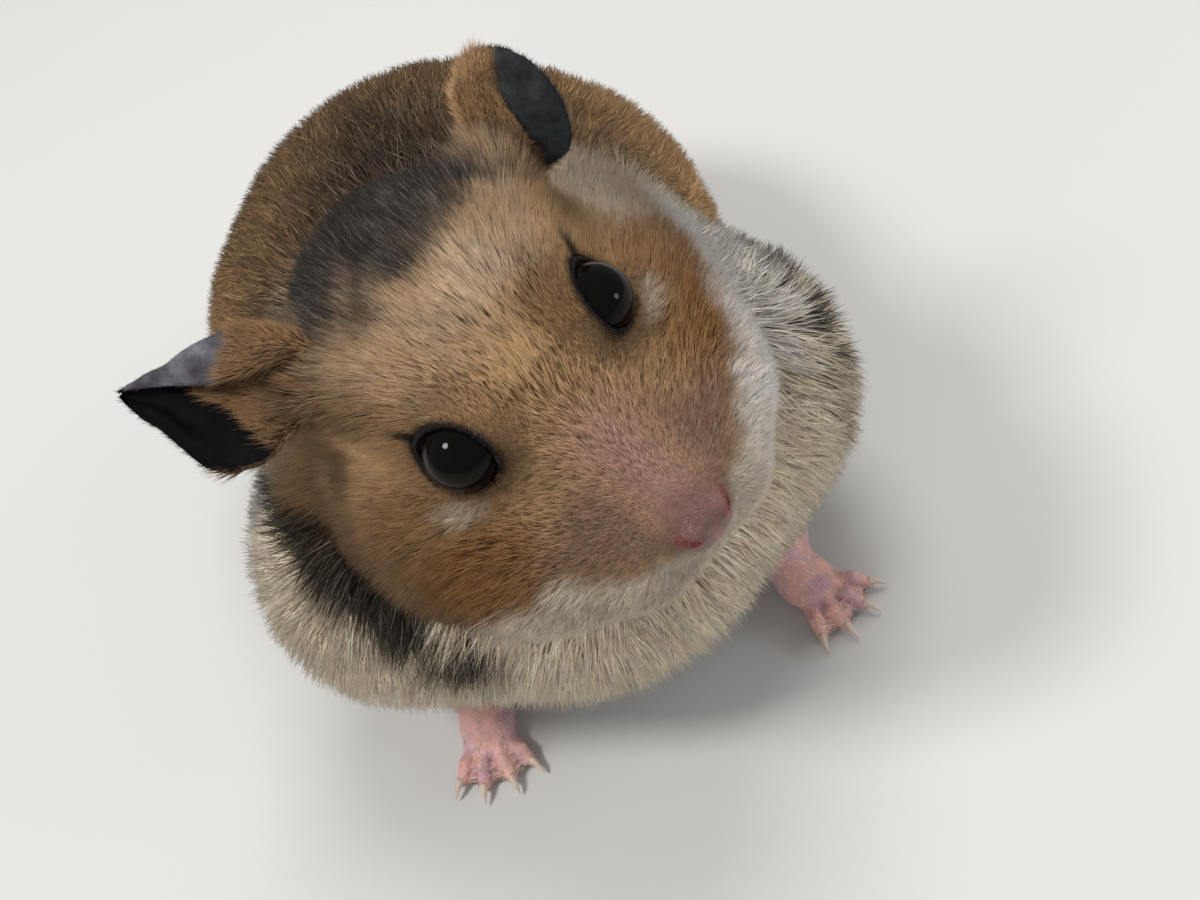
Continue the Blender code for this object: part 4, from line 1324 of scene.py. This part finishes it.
    # velvet on both faces, a fringe on the rims and longer hair at the root
    nrm = vertex_normals(world, all_tris)
    mid_s, mid_u = Sf[all_tris].mean(1), Uf[all_tris].mean(1)
    tan_tri = tan_part[all_tris].mean(1)
    total = 15000
    dens = (1.0 + 1.5 * step(0.88, 0.98, np.abs(mid_u)) + 2.2 * tan_tri) * (mid_s > -4.9)
    root, which, bary = scatter(rng, world, all_tris, dens, total)
    rn = unit((nrm[all_tris[which]] * bary[:, :, None]).sum(1))
    axis = HEAD_TURN @ ear_axes(side)[0]
    s = (Sf[all_tris[which]] * bary).sum(1)
    u = (Uf[all_tris[which]] * bary).sum(1)
    tan = (tan_part[all_tris[which]] * bary).sum(1)
    out_side = which >= len(tris)
    f = unit(axis + 0.22 * rng.standard_normal((total, 3)))
    f = unit(f - rn * (f * rn).sum(1)[:, None])
    length = rng.uniform(0.32, 0.55, total) * (1 + 0.5 * step(0.88, 1.0, np.abs(u))) * (1 + 2.8 * tan * step(8.5, 5.0, s))
    length = length * (1 + 0.5 * tan * (side < 0) * ~out_side)
    rise = length * rng.uniform(0.15, 0.42, total)
    base = (col[all_tris[which]] * bary[:, :, None]).sum(1)
    base = mix(base, brown * 0.95, 0.85 * tan * step(9.0, 7.0, s)) * rng.uniform(0.75, 1.30, total)[:, None]
    w = np.full(total, 0.065) * rng.uniform(0.8, 1.3, total) * (1 + 0.6 * tan)
    lead = np.arange(total)
    uv = np.stack([0.5 + 0.46 * u, np.where(out_side, 0.52 + 0.44 * (s + 5) / 18, 0.48 - 0.44 * (s + 5) / 18)], 1)
    p2, t2, c2, uv2 = grow(rng, root, rn, f, length, rise, w, (lead, np.zeros(total)), 1, (base * 0.7, base, base * 1.20), uv)
    mesh = mesh_of("ear_velvet_" + tag, p2, t2)
    paint(mesh, "coat_colour", c2)
    layer = mesh.uv_layers.new(name="OFBake")
    layer.data.foreach_set("uv", uv2[t2.ravel()].astype(np.float32).ravel())
    hair = new_object("ear_velvet_" + tag, mesh)
    hair.data.materials.append(FUR)
    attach(hair, "root")


# ------------------------------------------------------------------ eyes, claws, whiskers
def make_eye(side, tag):
    ball, tris = unit_ball(56, 36)
    at, h, v, o = eye_frame(side)
    # the ball's pole looks outwards, with the slight extra bulge of the cornea
    R = np.stack([h, v if np.dot(np.cross(h, v), o) > 0 else -v, o], 1)
    bulge = 1 + 0.035 * step(0.45, 1.0, ball[:, 2])
    pts = (ball * (EYE_R - 0.10) * bulge[:, None]) @ R.T + at
    mesh = mesh_of("eyeball_" + tag, HEAD_AT + pts @ HEAD_TURN.T, tris)
    obj = new_object("eyeball_" + tag, mesh)
    obj.data.materials.append(EYE)
    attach(obj, "root")
    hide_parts("eye_" + tag)


def tube(path, radii, sides):
    """A closed tapering tube along a path."""
    path = np.asarray(path, float)
    tangent = unit(np.gradient(path, axis=0))
    ref = np.array([0, 0, 1.0]) if abs(tangent[0] @ np.array([0, 0, 1.0])) < 0.9 else np.array([1.0, 0, 0])
    pts, tris = [], []
    for k, (c, t, r) in enumerate(zip(path, tangent, radii)):
        a = unit(np.cross(ref, t))
        b = np.cross(t, a)
        for i in range(sides):
            g = 2 * math.pi * i / sides
            pts.append(c + (a * math.cos(g) + b * math.sin(g)) * r)
        if k:
            for i in range(sides):
                j = (i + 1) % sides
                s, e = (k - 1) * sides, k * sides
                tris += [(s + i, s + j, e + j), (s + i, e + j, e + i)]
    last = (len(path) - 1) * sides
    for i in range(1, sides - 1):
        tris += [(0, i + 1, i), (last, last + i, last + i + 1)]
    return np.array(pts), np.array(tris)


def joined(name, parts, material):
    pts, tris, start = [], [], 0
    for p, t in parts:
        pts.append(p)
        tris.append(t + start)
        start += len(p)
    mesh = mesh_of(name, np.concatenate(pts), np.concatenate(tris))
    obj = new_object(name, mesh)
    obj.data.materials.append(material)
    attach(obj, "root")
    return obj


def make_claws():
    parts = []
    for (side, hind), (_, toes) in PAWS.items():
        for base, knuckle, tip, f in toes:
            length = 2.1 if hind else 1.9
            ts = np.linspace(0, 1, 8)
            path = [tip + f * (0.1 + length * t) + np.array([0, 0, 0.30 + 0.12 * math.sin(math.pi * t) - 0.75 * t * t]) for t in ts]
            radii = [0.40 * (1 - t) ** 0.7 + 0.05 for t in ts]
            p, t = tube(path, radii, 8)
            p[:, 2] = np.maximum(p[:, 2], 0.05)
            parts.append((p, t))
    joined("claws", parts, HORN)


def make_whiskers(rng):
    parts = []
    for side in (1, -1):
        for row in range(3):
            for k in range(4):
                x = 4.2 + 1.3 * k + 0.3 * row
                y = -21.6 + 1.5 * k + 0.4 * row
                z = -5.2 - 1.25 * row + 0.2 * k
                start = np.array([side * x * 0.92, y + 1.2, z])
                length = (6.0 + 2.2 * k) * rng.uniform(0.85, 1.15)
                d = unit(np.array([side * (1.0 + 0.05 * k), -0.38 + 0.24 * k + 0.1 * rng.standard_normal(), 0.22 - 0.20 * row + 0.08 * rng.standard_normal()]))
                droop = np.array([0, 0.35, -0.30])
                ts = np.linspace(0, 1, 9)
                path = [start + d * length * t + droop * length * 0.45 * t * t for t in ts]
                path = [HEAD_AT + HEAD_TURN @ c for c in path]
                radii = [0.046 * (1 - t) ** 0.8 + 0.007 for t in ts]
                parts.append(tube(path, radii, 4))
    joined("whiskers", parts, WHISKER)


# ------------------------------------------------------------------ build
points, tris, base = make_skin()
normals = vertex_normals(points, tris)
colour, bare = skin_colours(points, normals)
skin_mesh = mesh_of("skin", points, tris)
paint(skin_mesh, "skin_colour", colour)
skin_mesh.materials.append(SKIN)
skin_mesh.materials.append(BARE)
skin_mesh.polygons.foreach_set("material_index", (bare[tris].mean(1) > 0.5).astype(np.int32))
skin = new_object("skin", skin_mesh)
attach(skin, "root")
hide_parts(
    "head", "neck", "trunk", "tail", "foreleg_left", "foreleg_right", "hindleg_left", "hindleg_right",
    "forefoot_left", "forefoot_right", "hindfoot_left", "hindfoot_right",
)
print(f"skin: {len(tris)} triangles")

for side, tag in ((1, "left"), (-1, "right")):
    make_eye(side, tag)
    make_ear(side, tag, np.random.default_rng(70 + side))
make_claws()
make_whiskers(np.random.default_rng(5))

# the coat, in pieces that share the skin between them
centres = points[tris].mean(1)
tri_n = unit(np.cross(points[tris[:, 1]] - points[tris[:, 0]], points[tris[:, 2]] - points[tris[:, 0]]))
on_head = head_share(centres) > 0.5
q = to_head(centres)
near_nose = np.linalg.norm(q - NOSE, axis=1)
BARELY = np.where((centres[:, 2] < 0.7) | (nose_bare(q)), 0.0, 1.0)
share = 1.0
wide = 1.0
SKIN_ARRAYS = (points, tris, normals)
HEAD_MID = head_point(0, -2, -2)
BODY_MID = np.array([0.0, 8.0, 22.0])


def split(mask, density=1.0):
    return mask * density * BARELY


head_density = (1.0 + 1.2 * step(22, 6, near_nose)) * (1.0 + 1.4 * step(3.0, 1.0, eye_distance(q)))
head_density *= 1 + 1.2 * np.exp(-(np.linalg.norm((q - np.array([-15.0, 5.0, 2.5])) / 5.0, axis=1) ** 2))
muzzle = on_head & (q[:, 1] < -8.5)
rest = on_head & ~muzzle
top = rest & (q[:, 2] > 3.0)
brow, crown = top & (q[:, 1] < 3.0), top & (q[:, 1] >= 3.0)
cheek_l, cheek_r = rest & ~top & (q[:, 0] > 0), rest & ~top & (q[:, 0] <= 0)
body = ~on_head
front = body & (centres[:, 1] < -4)
front_l, front_r = front & (centres[:, 0] > 0), front & (centres[:, 0] <= 0)
rear = body & ~front
back = rear & (tri_n[:, 2] > 0.35)
flank_l, flank_r = rear & ~back & (centres[:, 0] > 0), rear & ~back & (centres[:, 0] <= 0)
H = HEAD_TURN
plan = [
    # name, slot, mask, density, tufts, rings, width, hairs in a lock, pull, middle, axis
    ("coat_face", "coat", muzzle, head_density, 47000, 1, 0.105, 14, 0.14, HEAD_MID, H @ np.array([0, -1.0, 0])),
    ("coat_brow", "coat", brow, head_density, 42000, 1, 0.115, 16, 0.16, HEAD_MID, H @ np.array([0, -0.5, 1.0])),
    ("coat_crown", "coat", crown, 1.0, 30000, 1, 0.125, 20, 0.30, HEAD_MID, H @ np.array([0, 0.4, 1.0])),
    ("coat_cheek_left", "coat", cheek_l, head_density, 34000, 1, 0.120, 18, 0.22, HEAD_MID, H @ np.array([1.0, 0.2, -0.4])),
    ("coat_cheek_right", "coat", cheek_r, head_density, 45000, 1, 0.120, 18, 0.22, HEAD_MID, H @ np.array([-1.0, 0.2, -0.4])),
    ("coat_chest_left", "pale_coat", front_l, 1.0, 7500, 2, 0.20, 12, 0.32, BODY_MID, (0.75, -1.0, 0.1)),
    ("coat_chest_right", "pale_coat", front_r, 1.0, 9500, 2, 0.20, 12, 0.32, BODY_MID, (-0.75, -1.0, 0.1)),
    ("coat_chest_under_left", "pale_coat", front_l, 1.0, 14500, 1, 0.17, 18, 0.28, BODY_MID, (0.75, -1.0, 0.1)),
    ("coat_chest_under_right", "pale_coat", front_r, 1.0, 18500, 1, 0.17, 18, 0.28, BODY_MID, (-0.75, -1.0, 0.1)),
    ("coat_back", "coat", back, 1.0, 9000, 2, 0.22, 14, 0.36, BODY_MID, (0, 0.3, 1.0)),
    ("coat_back_under", "coat", back, 1.0, 16500, 1, 0.18, 20, 0.30, BODY_MID, (0, 0.3, 1.0)),
    ("coat_flank_left", "coat", flank_l, 1.0, 6000, 2, 0.22, 12, 0.36, BODY_MID, (1.0, 0.3, 0.0)),
    ("coat_flank_right", "coat", flank_r, 1.0, 6000, 2, 0.22, 12, 0.36, BODY_MID, (-1.0, 0.3, 0.0)),
    ("coat_flank_under_left", "coat", flank_l, 1.0, 12500, 1, 0.19, 20, 0.30, BODY_MID, (1.0, 0.3, 0.0)),
    ("coat_flank_under_right", "coat", flank_r, 1.0, 12500, 1, 0.19, 20, 0.30, BODY_MID, (-1.0, 0.3, 0.0)),
]
for number, (name, slot, mask, density, total, rings, width, every, pull, middle, axis) in enumerate(plan):
    coat_piece(
        name, np.random.default_rng(100 + number), SKIN_ARRAYS, split(mask, density), int(total * share), rings,
        width * wide, every, pull, middle, axis,
    )


# ------------------------------------------------------------------ floor, light, camera
def make_floor():
    ball = np.array([(-2000, -2000, 0), (2000, -2000, 0), (2000, 2000, 0), (-2000, 2000, 0)], float)
    mesh = bpy.data.meshes.new("floor")
    mesh.from_pydata((ball * MM).tolist(), [], [(0, 1, 2, 3)])
    obj = new_object("floor", mesh)
    obj.data.materials.append(floor_material())


def row_direction(q):
    return Vector(HEAD_TURN @ np.asarray(q, float))


CAM_AT = np.array([-17.5, -88.5, 98.3])
FORWARD = unit(np.array([0.1327, 0.602, -0.787]))
UP = np.array([0.7483, 0.46, 0.478])
UP = unit(UP - FORWARD * (UP @ FORWARD))
RIGHT = np.cross(FORWARD, UP)


def make_camera():
    data = bpy.data.cameras.new("camera")
    data.sensor_width = 36.0
    data.lens = 36.0 * 1584 / 1200
    data.clip_start = 0.001
    data.clip_end = 10.0
    cam = bpy.data.objects.new("camera", data)
    bpy.context.scene.collection.objects.link(cam)
    r, u, b = (row_direction(v) for v in (RIGHT, UP, -FORWARD))
    place = Matrix((r, u, b)).transposed().to_4x4()
    place.translation = Vector(to_row(head_point(*CAM_AT)))
    cam.matrix_world = place
    bpy.context.scene.camera = cam
    return cam


def soft_light(name, towards, away, size, power, tint=(1.0, 1.0, 1.0), glints=True):
    """An area light at a direction from the head, given along the camera's own right, up and back."""
    d = HEAD_TURN @ (RIGHT * towards[0] + UP * towards[1] - FORWARD * towards[2])
    d = unit(d)
    data = bpy.data.lights.new(name, "AREA")
    data.shape = "DISK"
    data.size = size
    data.energy = power
    data.color = tint
    obj = bpy.data.objects.new(name, data)
    bpy.context.scene.collection.objects.link(obj)
    middle = Vector(to_row(head_point(0, 0, 0)))
    obj.location = middle + Vector(d) * away
    obj.rotation_mode = "QUATERNION"
    obj.rotation_quaternion = Vector(d).to_track_quat("Z", "Y")
    obj.visible_glossy = glints
    return obj


make_floor()
make_camera()
soft_light("key", (-0.70, 0.22, 0.68), 0.50, 0.13, 1.5, (1.0, 0.985, 0.96))
soft_light("top", (-0.16, 0.83, 0.52), 0.50, 0.30, 1.45, (1.0, 0.99, 0.97), False)
soft_light("side", (0.95, 0.25, 0.45), 0.60, 0.14, 0.45, (0.98, 0.99, 1.0))
soft_light("far fill", (0.72, 0.66, 0.30), 0.55, 0.30, 0.55, (1.0, 1.0, 1.0), False)
soft_light("low fill", (-0.50, -0.62, 0.60), 0.55, 0.30, 0.50, (1.0, 0.98, 0.96), False)
world = bpy.data.worlds.new("studio")
world.use_nodes = True
world.node_tree.nodes["Background"].inputs["Color"].default_value = (0.80, 0.82, 0.85, 1.0)
world.node_tree.nodes["Background"].inputs["Strength"].default_value = 0.38
scene = bpy.context.scene
scene.world = world
scene.view_settings.view_transform = "Standard"
